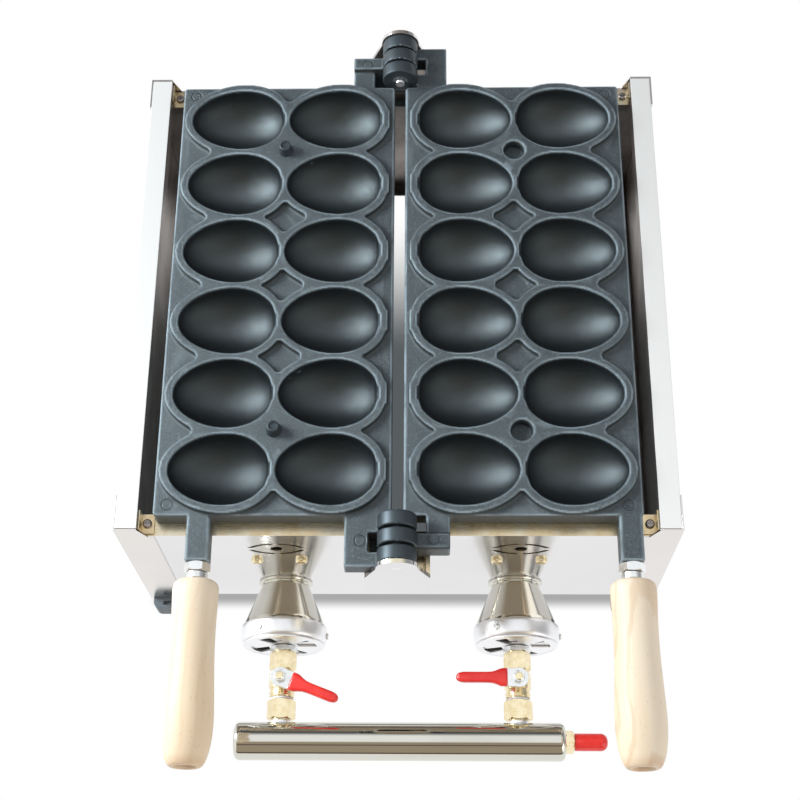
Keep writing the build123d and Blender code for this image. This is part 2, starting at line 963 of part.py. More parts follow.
def mixer_bell(x):
    outer = [
        (collar_radius, out(0)),
        (collar_radius, out(collar_length)),
        (neck_radius, out(collar_length)),
        (bell_shoulder, out(cone_end)),
        (rim_radius, out(rim_start)),
        (rim_radius, out(bell_length)),
        (jet_radius, out(bell_length)),
        (jet_radius, out(bell_length - face_sheet)),
        (rim_radius - bell_wall, out(bell_length - face_sheet)),
        (rim_radius - bell_wall, out(rim_start)),
        (bell_shoulder - bell_wall, out(cone_end)),
        (neck_radius - bell_wall, out(collar_length)),
        (neck_radius - bell_wall, out(0)),
    ]
    shape = turned(outer, x, burner_height)
    shape -= sector_windows(x, out(bell_length + 1), out(bell_length - face_sheet - 1), window_turn)
    for place in rim_screw_places(x):
        shape -= place * Cylinder(rim_screw_radius, 4 * bell_wall)
    return shape


def rim_screw_places(x):
    # three small screws round the rim, pointing outward
    middle = out((rim_start + bell_length) / 2)
    places = []
    for angle in (90, 210, 330):
        places.append(Pos(x, middle, burner_height) * Rot(0, angle, 0) * Pos(0, 0, rim_radius))
    return places


def rim_screws():
    screws = []
    for x in (-burner_x, burner_x):
        for place in rim_screw_places(x):
            head = Cylinder(rim_screw_head, rim_screw_height, align=(Align.CENTER, Align.CENTER, Align.MIN))
            head = fillet(head.edges().group_by(Axis.Z)[-1], rim_screw_height * screw_crown)
            shank = Pos(0, 0, -bell_wall) * Cylinder(rim_screw_radius, 2 * bell_wall)
            flat = Box(4 * rim_screw_head, 4 * rim_screw_head, 2 * rim_screw_height)
            seat = rod_y(0, -rim_radius, rim_radius, -rim_screw_head * 2, rim_screw_head * 2)
            base = Cylinder(rim_screw_head, bell_wall / 2)
            screw = (head + base) - (seat & flat)
            screws.append(place * (screw + shank))
    return screws


def gas_jet(x):
    nose = out(bell_length - jet_inside)
    tail = out(valve_start + valve_back / 2)
    throat = out(bell_length - jet_inside + jet_nose)
    shape = rod_y(x, burner_height, jet_radius, throat, tail)
    tip = Pos(x, (nose + throat) / 2, burner_height) * Rot(90, 0, 0) * Cone(jet_radius, jet_bore, jet_nose)
    shape += mirror(tip, Plane.XZ.offset(-(nose + throat) / 2))
    shape -= rod_y(x, burner_height, jet_bore, throat, tail - 1)
    shape -= rod_y(x, burner_height, jet_orifice, nose + 1, throat - 1)
    return shape


def air_shutter(x):
    start = out(shutter_start)
    end = out(shutter_end)
    shape = rod_y(x, burner_height, shutter_radius, start, end)
    shape -= rod_y(x, burner_height, jet_radius + running_fit, start + 1, end - 1)
    return shape - sector_windows(x, start + 1, end - 1, window_turn + shutter_turn)


def shutter_lock_nuts():
    nuts = []
    for x in (-burner_x, burner_x):
        nut = hex_y(x, burner_height, shutter_nut_flats, out(nut_start), out(valve_start))
        nuts.append(nut - rod_y(x, burner_height, jet_radius, out(nut_start - 1), out(valve_start + 1)))
    return nuts


# Valves

def valve_body(x):
    start = out(valve_start)
    chamber = out(chamber_start)
    chamber_end = out(chamber_start + chamber_length)
    union = out(union_start)
    stem_y = out(stem_place)
    shape = hex_y(x, burner_height, hex_flats, start, chamber)
    shape += rod_y(x, burner_height, ball_chamber_radius, chamber, chamber_end)
    shape += rod_y(x, burner_height, thread_radius, chamber_end, union)
    shape += rod_z(x, stem_y, bonnet_radius, burner_height, burner_height + bonnet_top)
    shape -= rod_y(x, burner_height, jet_radius, start + 1, out(valve_start + valve_back / 2))
    shape -= rod_y(x, burner_height, valve_bore, start, union - 1)
    shape -= Pos(x, stem_y, burner_height) * Sphere(ball_radius + gap)
    shape -= rod_z(x, stem_y, stem_radius + running_fit, burner_height, burner_height + bonnet_top + 1)
    return shape


def valve_union(x):
    start = out(union_start)
    end = out(union_end)
    shape = hex_y(x, burner_height, union_flats, start, end)
    return shape - rod_y(x, burner_height, branch_bore, start + 1, end - 1)


def valve_unions():
    return [valve_union(-burner_x), valve_union(burner_x)]


def valve_ball(x, angle):
    ball = Sphere(ball_radius)
    ball -= Rot(90, 0, 0) * Cylinder(ball_bore, 3 * ball_radius)
    ball -= Pos(0, 0, ball_flat + ball_radius) * Box(4 * ball_radius, 4 * ball_radius, 2 * ball_radius)
    # the bore runs across the pipe when the lever does
    ball = Rot(0, 0, angle + 90) * ball
    return Pos(x, out(stem_place), burner_height) * ball


def valve_stem(x):
    low = burner_height + ball_flat
    high = burner_height + lever_low + lever_sheet + stem_nut_height + stem_tip
    return rod_z(x, out(stem_place), stem_radius, low, high)


def lever_strap():
    head = Cylinder(lever_head_radius, lever_sheet)
    strap = Pos(strap_length / 2, 0, 0) * Box(strap_length, strap_width, lever_sheet)
    wide = Pos(sleeve_start / 2 + 2, 0, 0) * Box(sleeve_start + 4, 2 * lever_head_radius - 1, lever_sheet)
    return head + strap + wide


def valve_lever(x, angle):
    shape = lever_strap() - Cylinder(stem_radius, 3 * lever_sheet)
    height = burner_height + lever_low + lever_sheet / 2
    return Pos(x, out(stem_place), height) * Rot(0, 0, angle) * shape


def lever_sleeve(x, angle):
    wide = sleeve_wide / 2
    narrow = sleeve_narrow / 2
    tip = sleeve_length - narrow
    outline = make_face(Polyline(
        (sleeve_start, -wide),
        (sleeve_full - wide, -wide),
        (sleeve_full, -narrow),
        (tip, -narrow),
        (tip, narrow),
        (sleeve_full, narrow),
        (sleeve_full - wide, wide),
        (sleeve_start, wide),
        close=True,
    ))
    outline += Pos(tip, 0) * Circle(narrow)
    shape = Pos(0, 0, -sleeve_thickness / 2) * extrude(outline, sleeve_thickness)
    shape = fillet(shape.edges().group_by(Axis.Z)[-1] + shape.edges().group_by(Axis.Z)[0], sleeve_edge)
    shape -= lever_strap()
    height = burner_height + lever_low + lever_sheet / 2
    return Pos(x, out(stem_place), height) * Rot(0, 0, angle) * shape


def stem_nut(x):
    low = burner_height + lever_low + lever_sheet
    shape = hex_z(x, out(stem_place), stem_nut_flats, low, low + stem_nut_height)
    return shape - rod_z(x, out(stem_place), stem_radius, low - 1, low + stem_nut_height + 1)


# Manifold

def manifold_pipe():
    y = out(manifold_depth)
    z = burner_height
    shape = rod_x(y, z, manifold_radius, -manifold_half, manifold_half)
    for x in (-burner_x, burner_x):
        shape += rod_y(x, z, branch_radius, y, out(union_end))
    shape -= rod_x(y, z, manifold_radius - manifold_wall, -manifold_half - 1, manifold_half + 1)
    for x in (-burner_x, burner_x):
        shape -= rod_y(x, z, branch_bore, y, out(union_end) + 1)
    return shape


def manifold_end_caps():
    y = out(manifold_depth)
    z = burner_height
    caps = []
    for side in (-1, 1):
        start = side * manifold_half
        end = side * (manifold_half + manifold_cap)
        cap = rod_x(y, z, manifold_radius, start, end)
        rim = cap.edges().group_by(Axis.X)[-1 if side > 0 else 0]
        cap = fillet(rim, cap_edge)
        if side > 0:
            cap -= rod_x(y, z, nipple_radius, start - 1, end + 1)
        caps.append(cap)
    return caps


def gas_inlet_fitting():
    y = out(manifold_depth)
    z = burner_height
    hex_end = inlet_start + inlet_hex_length
    tail = hex_end + nipple_length
    shape = hex_x(y, z, inlet_flats, inlet_start, hex_end)
    shape += rod_x(y, z, nipple_radius, manifold_half, tail)
    return shape - rod_x(y, z, nipple_bore, manifold_half - 1, tail + 1)


def gas_inlet_cap():
    y = out(manifold_depth)
    z = burner_height
    radius = nipple_radius + running_fit + cap_wall
    end = gas_cap_start + gas_cap_length
    shape = rod_x(y, z, radius, gas_cap_start, end)
    shape = fillet(shape.edges().group_by(Axis.X)[-1], radius * gas_cap_dome)
    depth = nipple_length + 1
    return shape - rod_x(y, z, nipple_radius + running_fit, gas_cap_start - 1, gas_cap_start + depth)


nodes = {
    "front_panel": front_panel,
    "rear_panel": rear_panel,
    "left_side_panel": lambda: side_panel(-1),
    "right_side_panel": lambda: side_panel(1),
    "corner_posts": corner_posts,
    "corner_tabs": corner_tabs,
    "corner_screws": corner_screws,
    "rubber_feet": rubber_feet,
    "foot_screws": foot_screws,
    "front_hinge_bracket": lambda: hinge_bracket(-1),
    "rear_hinge_bracket": lambda: hinge_bracket(1),
    "bracket_rivets": bracket_rivets,
    "front_hinge_pin": lambda: hinge_pin(-1),
    "rear_hinge_pin": lambda: hinge_pin(1),
    "left_mould_plate": left_mould_plate,
    "right_mould_plate": right_mould_plate,
    "locating_pegs": locating_pegs,
    "left_handle": lambda: handle(left_arm),
    "right_handle": lambda: handle(right_arm),
    "left_handle_stud": lambda: handle_stud(left_arm),
    "right_handle_stud": lambda: handle_stud(right_arm),
    "left_lock_nut": lambda: lock_nut(left_arm),
    "right_lock_nut": lambda: lock_nut(right_arm),
    "left_ferrule": lambda: ferrule(left_arm),
    "right_ferrule": lambda: ferrule(right_arm),
    "left_end_nut": lambda: end_nut(left_arm),
    "right_end_nut": lambda: end_nut(right_arm),
    "left_burner_tube": lambda: burner_tube(-burner_x),
    "right_burner_tube": lambda: burner_tube(burner_x),
    "burner_hangers": burner_hangers,
    "hanger_screws": hanger_screws,
    "burner_rests": burner_rests,
    "left_mixer_bell": lambda: mixer_bell(-burner_x),
    "right_mixer_bell": lambda: mixer_bell(burner_x),
    "rim_screws": rim_screws,
    "left_gas_jet": lambda: gas_jet(-burner_x),
    "right_gas_jet": lambda: gas_jet(burner_x),
    "left_air_shutter": lambda: air_shutter(-burner_x),
    "right_air_shutter": lambda: air_shutter(burner_x),
    "shutter_lock_nuts": shutter_lock_nuts,
    "left_valve_body": lambda: valve_body(-burner_x),
    "right_valve_body": lambda: valve_body(burner_x),
    "valve_unions": valve_unions,
    "left_valve_ball": lambda: valve_ball(-burner_x, left_lever_angle),
    "right_valve_ball": lambda: valve_ball(burner_x, right_lever_angle),
    "left_valve_stem": lambda: valve_stem(-burner_x),
    "right_valve_stem": lambda: valve_stem(burner_x),
    "left_valve_lever": lambda: valve_lever(-burner_x, left_lever_angle),
    "right_valve_lever": lambda: valve_lever(burner_x, right_lever_angle),
    "left_lever_sleeve": lambda: lever_sleeve(-burner_x, left_lever_angle),
    "right_lever_sleeve": lambda: lever_sleeve(burner_x, right_lever_angle),
    "left_stem_nut": lambda: stem_nut(-burner_x),
    "right_stem_nut": lambda: stem_nut(burner_x),
    "manifold_pipe": manifold_pipe,
    "manifold_end_caps": manifold_end_caps,
    "gas_inlet_fitting": gas_inlet_fitting,
    "gas_inlet_cap": gas_inlet_cap,
}


def main():
    os.makedirs("parts", exist_ok=True)
    for name, build in nodes.items():
        made = build()
        if isinstance(made, list):
            made = Compound(children=made)
        placed = Pos(0, y_shift, 0) * made
        export_step(placed, f"parts/{name}.step")
        box_size = placed.bounding_box().size
        print(name, len(placed.solids()), [round(v, 2) for v in box_size])


main()
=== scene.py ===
import bpy
import bmesh
import math
from mathutils import Matrix, Vector


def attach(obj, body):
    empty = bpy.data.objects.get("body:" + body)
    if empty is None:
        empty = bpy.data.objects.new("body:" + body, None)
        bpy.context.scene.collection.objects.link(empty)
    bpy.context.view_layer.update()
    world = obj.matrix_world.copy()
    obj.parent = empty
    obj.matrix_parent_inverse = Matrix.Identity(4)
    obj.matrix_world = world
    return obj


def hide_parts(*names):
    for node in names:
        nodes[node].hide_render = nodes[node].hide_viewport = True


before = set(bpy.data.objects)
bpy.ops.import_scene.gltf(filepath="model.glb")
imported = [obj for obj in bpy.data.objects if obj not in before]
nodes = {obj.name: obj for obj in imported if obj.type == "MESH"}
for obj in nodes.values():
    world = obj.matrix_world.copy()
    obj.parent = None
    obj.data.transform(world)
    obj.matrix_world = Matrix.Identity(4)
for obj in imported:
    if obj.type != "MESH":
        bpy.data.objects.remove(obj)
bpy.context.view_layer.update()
print("frame loaded,", len(nodes), "nodes")

# lengths are millimetres, with the hinge line at x = 0 and the moulds' middle at y = 0
place = {"shiftY": 67.35, "hingeZ": 195.15, "panelFace": -193.4, "burnerX": 90.4, "burnerZ": 57.5,
         "stemOut": 79.94, "pipeOut": 124.6, "handleZ": 180.75, "leftHandleX": -142.2, "rightHandleX": 166.0}
eggs = {"columnMiddle": 90.4, "columnPitch": 78.0, "rowPitch": 60.1, "rows": 6, "halfLength": 37.1,
        "halfWidth": 27.5, "skew": 0.1, "parting": 195.0}
perMetre = 1000.0
toMetres = Matrix.Scale(1 / perMetre, 4) @ Matrix.Translation((0, place["shiftY"], 0))
noiseMiddle = 0.5
noStretch = (1, 1, 1)


# node maths
class Value:
    # a number socket that can be used in ordinary sums
    def __init__(self, owner, socket):
        self.owner = owner
        self.socket = socket

    def calc(self, operation, *others):
        return self.owner.node("ShaderNodeMath", {"operation": operation}, [self, *others])

    def __add__(self, other):
        return self.calc("ADD", other)

    def __radd__(self, other):
        return self.calc("ADD", other)

    def __sub__(self, other):
        return self.calc("SUBTRACT", other)

    def __rsub__(self, other):
        return self.owner.node("ShaderNodeMath", {"operation": "SUBTRACT"}, [other, self])

    def __mul__(self, other):
        return self.calc("MULTIPLY", other)

    def __rmul__(self, other):
        return self.calc("MULTIPLY", other)

    def __truediv__(self, other):
        return self.calc("DIVIDE", other)

    def __abs__(self):
        return self.calc("ABSOLUTE")

    def step(self, low, high):
        # 0 below low, 1 above high, smooth between
        return self.owner.node("ShaderNodeMapRange", {"interpolation_type": "SMOOTHSTEP"},
                               {"Value": self, "From Min": low, "From Max": high})


class Nodes:
    # adds nodes to one tree
    def __init__(self, tree):
        self.tree = tree

    def fill(self, socket, value):
        if isinstance(value, Value):
            self.tree.links.new(value.socket, socket)
        else:
            socket.default_value = value

    def node(self, kind, settings=None, values=None, output=0):
        made = self.tree.nodes.new(kind)
        for key, value in (settings or {}).items():
            setattr(made, key, value)
        pairs = values.items() if isinstance(values, dict) else enumerate(values or [])
        for key, value in pairs:
            self.fill(made.inputs[key], value)
        return Value(self, made.outputs[output])

    def mix(self, factor, first, second):
        # the mix node's colour sockets are its seventh and eighth, and its third output
        slots = {"first": 6, "second": 7, "result": 2}
        values = {"Factor": factor, slots["first"]: asColour(first), slots["second"]: asColour(second)}
        return self.node("ShaderNodeMix", {"data_type": "RGBA"}, values, slots["result"])

    def parts(self, vector):
        outs = self.node("ShaderNodeSeparateXYZ", None, [vector]).socket.node.outputs
        return [Value(self, out) for out in outs]

    def rays(self):
        outs = self.node("ShaderNodeLightPath").socket.node.outputs
        return Value(self, outs["Is Camera Ray"]), Value(self, outs["Is Glossy Ray"])


class Finish(Nodes):
    # builds one material
    def __init__(self, name, settings=None):
        self.material = bpy.data.materials.new(name)
        self.material.use_nodes = True
        super().__init__(self.material.node_tree)
        self.shader = self.tree.nodes["Principled BSDF"]
        for socket, value in (settings or {}).items():
            self.shader.inputs[socket].default_value = value
        self.coords = self.node("ShaderNodeTexCoord", None, None, "Object")

    def axes(self):
        # the point's x, y and z in millimetres, y from the moulds' middle
        x, y, z = (part * perMetre for part in self.parts(self.coords))
        return x, y - place["shiftY"], z

    def mapped(self, scale, location=(0, 0, 0)):
        return self.node("ShaderNodeMapping", None, {
            "Vector": self.coords, "Scale": scale, "Location": location})

    def noise(self, scale, detail, rough, stretch=noStretch):
        return self.node("ShaderNodeTexNoise", None, {
            "Vector": self.mapped(stretch), "Scale": scale, "Detail": detail, "Roughness": rough})

    def attribute(self, name):
        return self.node("ShaderNodeAttribute", {"attribute_name": name}, None, "Fac")

    def bump(self, height, strength, distance):
        made = self.node("ShaderNodeBump", None, {
            "Strength": strength, "Distance": distance, "Height": height})
        self.fill(self.shader.inputs["Normal"], made)

    def put(self, socket, value):
        self.fill(self.shader.inputs[socket], value)


def asColour(value):
    return (*value, 1.0) if isinstance(value, tuple) and len(value) == 3 else value


def grey(value):
    return (value, value, value, 1.0)


# finishes
def castCoat():
    # sand-cast face under a satin release coat, smoother and darker inside the egg hollows, with painted
    # highlights on its edges and lips and painted shade on its rim walls and creases
    look = {
        "sand": (560, 5.0, 0.8), "blotch": (45, 4.0, 0.6), "fine": (5200, 2.0, 0.6),
        "face": (0.012, 0.016, 0.020), "speck": (0.115, 0.148, 0.172), "speckEdge": (0.50, 0.66),
        "speckShare": 0.55, "blotched": (0.012, 0.016, 0.020), "blotchEdge": (0.35, 0.75),
        "blotchShare": 0.35,
        "hollow": (0.004, 0.005, 0.006), "hollowSpeck": (0.016, 0.020, 0.024), "hollowSpeckEdge": (0.5, 0.75),
        "hollowEdge": (0.97, 1.03), "hollowAbove": (120.0, 125.0), "rowsEnd": (181.0, 182.0),
        "paleWearAndHighlight": (0.30, 0.37, 0.42), "wornShare": 0.75, "wornEven": 0.35, "wornPatchy": 0.65,
        "wornEdge": (0.3, 0.6), "lipEdge": (0.008, 0.035), "lipAbove": (193.0, 194.0), "lipEven": 0.45,
        "lipSand": 0.5, "wall": (0.003, 0.004, 0.004), "wallFoot": (190.3, 191.0), "wallTop": (193.7, 194.5),
        "wallShadeShare": 0.95, "creaseShade": (0.004, 0.005, 0.006), "creaseShadeShare": 0.85,
        "mark": (0.008, 0.010, 0.012), "markShare": 0.45, "markRadius": 4.0, "markEdge": (0.25, 0.8),
        "markAbove": (186.0, 188.0), "markDeep": 0.8, "markSpots": ((165.2, 176.0), (26.0, 203.0)),
        "faceRough": 0.43, "hollowRough": 0.345, "sandRough": 0.16, "wornRough": 0.08, "wallRough": 0.3,
        "hollowGrain": 0.72, "fineGrain": 0.25, "bump": (1.0, 0.0006),
        "settings": {"IOR": 2.0, "Specular Tint": (0.80, 0.94, 1.0, 1.0)}}
    made = Finish("releaseCoat", look["settings"])
    x, y, z = made.axes()
    sand, blotch, fine = (made.noise(*look[key]) for key in ("sand", "blotch", "fine"))

    # the egg outline is where ring is 1
    beyond = abs(x) - eggs["columnMiddle"]
    along = (beyond - beyond.calc("SIGN") * (eggs["columnPitch"] / 2)) / eggs["halfLength"]
    halfRow = eggs["rowPitch"] / 2
    row = (y - halfRow).calc("WRAP", halfRow, -halfRow)
    across = row / (eggs["halfWidth"] * (1 - along * eggs["skew"]))
    ring = along * along + across * across
    inRows = 1 - abs(y).step(*look["rowsEnd"])
    hollow = (1 - ring.step(*look["hollowEdge"])) * inRows * z.step(*look["hollowAbove"])

    tone = made.mix(sand.step(*look["speckEdge"]) * look["speckShare"], look["face"], look["speck"])
    tone = made.mix(blotch.step(*look["blotchEdge"]) * look["blotchShare"], tone, look["blotched"])
    inside = made.mix(sand.step(*look["hollowSpeckEdge"]), look["hollow"], look["hollowSpeck"])
    tone = made.mix(hollow, tone, inside)

    # pale convex edges, partly real wear and partly painted highlight; a painted highlight along the egg
    # lips; painted shade on the rim walls and in the creases
    # painted highlight: a thin pale line along each egg's lip, where the lamp catches it
    lipHighlight = (1 - abs(ring - 1.0).step(*look["lipEdge"])) * z.step(*look["lipAbove"]) * inRows
    # pale convex edges: partly real edge wear, partly painted highlight
    wearAndHighlight = made.attribute("wearAndHighlight") * (look["wornEven"] + look["wornPatchy"] * blotch.step(*look["wornEdge"]))
    wearAndHighlight = wearAndHighlight.calc("MAXIMUM", lipHighlight * (look["lipEven"] + look["lipSand"] * sand))
    tone = made.mix(wearAndHighlight * look["wornShare"], tone, look["paleWearAndHighlight"])
    # painted shade: the rims' outer walls, between foot and top, darkened almost to black
    wall = z.step(*look["wallFoot"]) * (1 - z.step(*look["wallTop"])) * (1 - hollow)
    tone = made.mix(wall * look["wallShadeShare"], tone, look["wall"])
    # painted shade: concave creases at the rims' feet darkened almost to black
    tone = made.mix(made.attribute("creaseShade") * (1 - hollow) * look["creaseShadeShare"], tone, look["creaseShade"])

    # faint ejector circles near the corners and on the lugs
    spots = []
    for spotX, spotY in look["markSpots"]:
        offX, offY = abs(x) - spotX, abs(y) - spotY
        spots.append(offX * offX + offY * offY)
    spot = spots[0].calc("MINIMUM", spots[1]).calc("SQRT")
    circle = (1 - abs(spot - look["markRadius"]).step(*look["markEdge"])) * z.step(*look["markAbove"])
    made.put("Base Color", made.mix(circle * look["markShare"], tone, look["mark"]))

    rough = look["faceRough"] - hollow * (look["faceRough"] - look["hollowRough"])
    rough = rough + (sand - noiseMiddle) * look["sandRough"]
    made.put("Roughness", rough - wearAndHighlight * look["wornRough"] + wall * look["wallRough"])
    grain = sand * (1 - hollow * look["hollowGrain"]) + fine * look["fineGrain"]
    made.bump(grain - circle * look["markDeep"], *look["bump"])
    return made.material


def layeredFinish(name, look):
    # noises lay tones over each other, swing or raise the roughness, and give the grain
    made = Finish(name, look["settings"])
    noises = {key: made.noise(*values) for key, values in look["noises"].items()}
    tone = look["tone"]
    for key, edge, share, colour in look["layers"]:
        amount = noises[key].step(*edge) if edge else noises[key]
        tone = made.mix(amount * share, tone, colour)
    made.put("Base Color", tone)
    rough = look["rough"]
    for key, swing in look["swings"]:
        rough = rough + (noises[key] - noiseMiddle) * swing
    for key, edge, rise in look.get("rises", ()):
        rough = rough + noises[key].step(*edge) * rise
    made.put("Roughness", rough)
    relief = 0.0
    for key, share in look["relief"]:
        relief = relief + noises[key] * share
    made.bump(relief, *look["bump"])
    return made.material


def sheetSteel(name, tone, grainAxis, rough, metal=1.0, tint=None, film=0.0):
    # rolled stainless sheet with its fine grain running along one axis
    look = {"alongGrain": 0.006, "darker": 0.82, "grainEdge": (0.3, 0.7), "grainShare": 0.10,
            "filmEdge": (0.35, 0.70)}
    stretch = tuple(look["alongGrain"] if axis == grainAxis else 1.0 for axis in range(3))
    layers = [("grain", look["grainEdge"], look["grainShare"], tuple(c * look["darker"] for c in tone))]
    if tint:
        layers.append(("cloud", look["filmEdge"], film, tint))
    return layeredFinish(name, {
        "settings": {"Metallic": metal},
        "noises": {"grain": (1400, 3.0, 0.6, stretch), "cloud": (9, 3.0, 0.5)},
        "tone": tone, "layers": layers, "rough": rough, "swings": [("grain", 0.10), ("cloud", 0.08)],
        "relief": [("grain", 1.0)], "bump": (0.10, 0.00005)})


def plated(name, tone, rough, shade):
    # nickel or zinc over steel, a little clouded
    return layeredFinish(name, {
        "settings": {"Metallic": 1.0}, "noises": {"cloud": (160, 4.0, 0.6), "fine": (2600, 3.0, 0.6)},
        "tone": tone, "layers": [("cloud", (0.35, 0.7), 0.6, shade)], "rough": rough,
        "swings": [("fine", 0.14)], "relief": [("fine", 1.0)], "bump": (0.18, 0.00005)})


def turnedBeech(name, handleX, figure):
    # pale turned wood: fibres along the handle, a soft figure and short dark flecks
    look = {
        "pale": (0.88, 0.76, 0.60), "warm": (0.84, 0.66, 0.46), "fleck": (0.52, 0.31, 0.17),
        "deep": (0.60, 0.36, 0.19),
        "fibre": (620, 4.0, 0.65, (1, 0.035, 1)), "broad": (22, 3.0, 0.5, (1, 0.22, 1)),
        "warp": (30, 3.0, 0.5, (1, 0.35, 1)), "warpShare": 5.0, "sagScale": 0.09, "lean": 0.05, "arch": 0.012,
        "ringScale": 2.4, "ringEdge": (0.55, 0.98), "fleckStretch": (1, 0.10, 1), "fleckDrop": -0.18,
        "fleckScale": 900.0, "fleckEdge": (0.12, 0.26), "fleckPatch": (300, 2.0, 0.5),
        "patchEdge": (0.52, 0.6),
        "broadEdge": (0.35, 0.68), "fibreEdge": (0.48, 0.75), "fibreShare": 0.30, "fleckShare": 0.45,
        "endEdge": (-359.0, -352.0), "endShare": 0.35, "rough": 0.47, "fibreRough": 0.16,
        "fibreDeep": 0.6, "fleckDeep": -0.4, "bump": (0.25, 0.0001), "settings": {"Specular IOR Level": 0.35}}
    made = Finish(name, look["settings"])
    x, y, z = made.axes()
    fibre, broad, warp = (made.noise(*look[key]) for key in ("fibre", "broad", "warp"))
    sag = (x - (handleX + figure["side"])) * look["sagScale"]
    rings = sag * sag * figure["spread"] + z * look["lean"] + (y - figure["crown"]) * look["arch"]
    rings = (rings + warp * look["warpShare"]) * look["ringScale"]
    lines = rings.calc("SINE").step(*look["ringEdge"])
    cells = made.node("ShaderNodeTexVoronoi", {"feature": "F1"}, {
        "Vector": made.mapped(look["fleckStretch"], (-handleX / perMetre, 0.0, look["fleckDrop"])),
        "Scale": look["fleckScale"]})
    ticks = (1 - cells.step(*look["fleckEdge"])) * made.noise(*look["fleckPatch"]).step(*look["patchEdge"])
    tone = made.mix(broad.step(*look["broadEdge"]), look["pale"], look["warm"])
    tone = made.mix(fibre.step(*look["fibreEdge"]) * look["fibreShare"], tone, look["warm"])
    tone = made.mix(lines * figure["depth"], tone, look["deep"])
    tone = made.mix(ticks * look["fleckShare"], tone, look["fleck"])
    tone = made.mix((1 - y.step(*look["endEdge"])) * look["endShare"], tone, look["deep"])
    made.put("Base Color", tone)
    made.put("Roughness", look["rough"] + (fibre - noiseMiddle) * look["fibreRough"])
    made.bump(fibre * look["fibreDeep"] + ticks * look["fleckDeep"], *look["bump"])
    return made.material


coat = castCoat()
# the same coat over the turned knuckles and pegs
knuckleCoat = layeredFinish("knuckleCoat", {
    "settings": {"IOR": 1.75, "Specular Tint": (0.72, 0.88, 1.0, 1.0)},
    "noises": {"fine": (1600, 4.0, 0.7), "blotch": (90, 3.0, 0.6)}, "tone": (0.020, 0.025, 0.029),
    "layers": [("fine", (0.5, 0.75), 0.5, (0.05, 0.062, 0.07))], "rough": 0.46,
    "swings": [("fine", 0.14), ("blotch", 0.1)], "relief": [("fine", 1.0)], "bump": (0.4, 0.00012)})
railSteel = sheetSteel("railSteel", (0.92, 0.92, 0.905), 1, 0.34, 0.45)
panelSteel = sheetSteel("panelSteel", (0.80, 0.79, 0.79), 0, 0.15, 1.0, (0.73, 0.72, 0.73), 0.6)
postSteel = sheetSteel("postSteel", (0.80, 0.765, 0.73), 2, 0.20, 1.0, (0.72, 0.70, 0.70), 0.5)
# stainless gone straw and brown from the burners
goldSteel = layeredFinish("heatedSteel", {
    "settings": {"Metallic": 1.0},
    "noises": {"cloud": (60, 4.0, 0.6), "grain": (1400, 3.0, 0.6, (0.02, 1, 1))},
    "tone": (0.80, 0.73, 0.57), "layers": [("cloud", (0.30, 0.62), 1.0, (0.72, 0.58, 0.36)),
                                           ("cloud", (0.58, 0.74), 0.6, (0.38, 0.25, 0.15))],
    "rough": 0.28, "swings": [("grain", 0.12)], "relief": [("grain", 1.0)], "bump": (0.10, 0.00004)})
# the hot inner faces, browned and dull
darkSteel = layeredFinish("insideSteel", {
    "settings": {"Metallic": 0.85},
    "noises": {"cloud": (26, 4.0, 0.6), "grain": (900, 3.0, 0.6, (1, 0.02, 1))},
    "tone": (0.40, 0.36, 0.34), "layers": [("cloud", (0.30, 0.70), 1.0, (0.24, 0.21, 0.19))],
    "rough": 0.42, "swings": [("grain", 0.16)], "relief": [("grain", 1.0)], "bump": (0.12, 0.00005)})
chrome = layeredFinish("polishedChrome", {
    "settings": {"Metallic": 1.0},
    "noises": {"smear": (38, 4.0, 0.6, (0.3, 1, 1)), "scratch": (1700, 3.0, 0.7, (0.02, 1, 1))},
    "tone": (0.69, 0.68, 0.62), "layers": [("smear", (0.4, 0.75), 0.4, (0.55, 0.54, 0.46))],
    "rough": 0.055, "swings": [], "rises": [("smear", (0.45, 0.8), 0.06), ("scratch", (0.60, 0.75), 0.05)],
    "relief": [("scratch", 1.0)], "bump": (0.05, 0.00003)})
satinChrome = plated("satinChrome", (0.95, 0.955, 0.97), 0.36, (0.89, 0.895, 0.92))
zinc = plated("zincPlate", (0.90, 0.91, 0.91), 0.26, (0.74, 0.76, 0.75))
burnerSteel = plated("burnerSteel", (0.30, 0.27, 0.24), 0.42, (0.17, 0.15, 0.14))
screwSteel = plated("screwSteel", (0.42, 0.38, 0.36), 0.34, (0.22, 0.19, 0.18))
brass = layeredFinish("machinedBrass", {
    "settings": {"Metallic": 1.0},
    "noises": {"turning": (2400, 2.0, 0.6, (0.05, 1, 0.05)), "dull": (150, 4.0, 0.65)},
    "tone": (0.95, 0.84, 0.58), "layers": [("dull", (0.35, 0.72), 0.8, (0.80, 0.63, 0.34))],
    "rough": 0.20, "swings": [("turning", 0.14)], "rises": [("dull", (0.45, 0.8), 0.10)],
    "relief": [("turning", 1.0)], "bump": (0.16, 0.00005)})
vinyl = layeredFinish("dippedVinyl", {
    "settings": {"Specular IOR Level": 0.5, "Coat Weight": 0.35, "Coat Roughness": 0.12},
    "noises": {"flow": (120, 3.0, 0.5), "pore": (1800, 2.0, 0.5)},
    "tone": (0.94, 0.040, 0.030), "layers": [("flow", (0.3, 0.7), 1.0, (0.84, 0.020, 0.018))],
    "rough": 0.30, "swings": [("flow", 0.14)], "relief": [("flow", 0.8), ("pore", 0.1)],
    "bump": (0.30, 0.0004)})
plastic = layeredFinish("mouldedPlastic", {
    "settings": {"Specular IOR Level": 0.45}, "noises": {"fine": (1900, 3.0, 0.6), "cloud": (60, 3.0, 0.5)},
    "tone": (0.105, 0.125, 0.145), "layers": [("cloud", None, 1.0, (0.16, 0.185, 0.205))],
    "rough": 0.55, "swings": [("fine", 0.2)], "relief": [("fine", 1.0)], "bump": (0.3, 0.0001)})
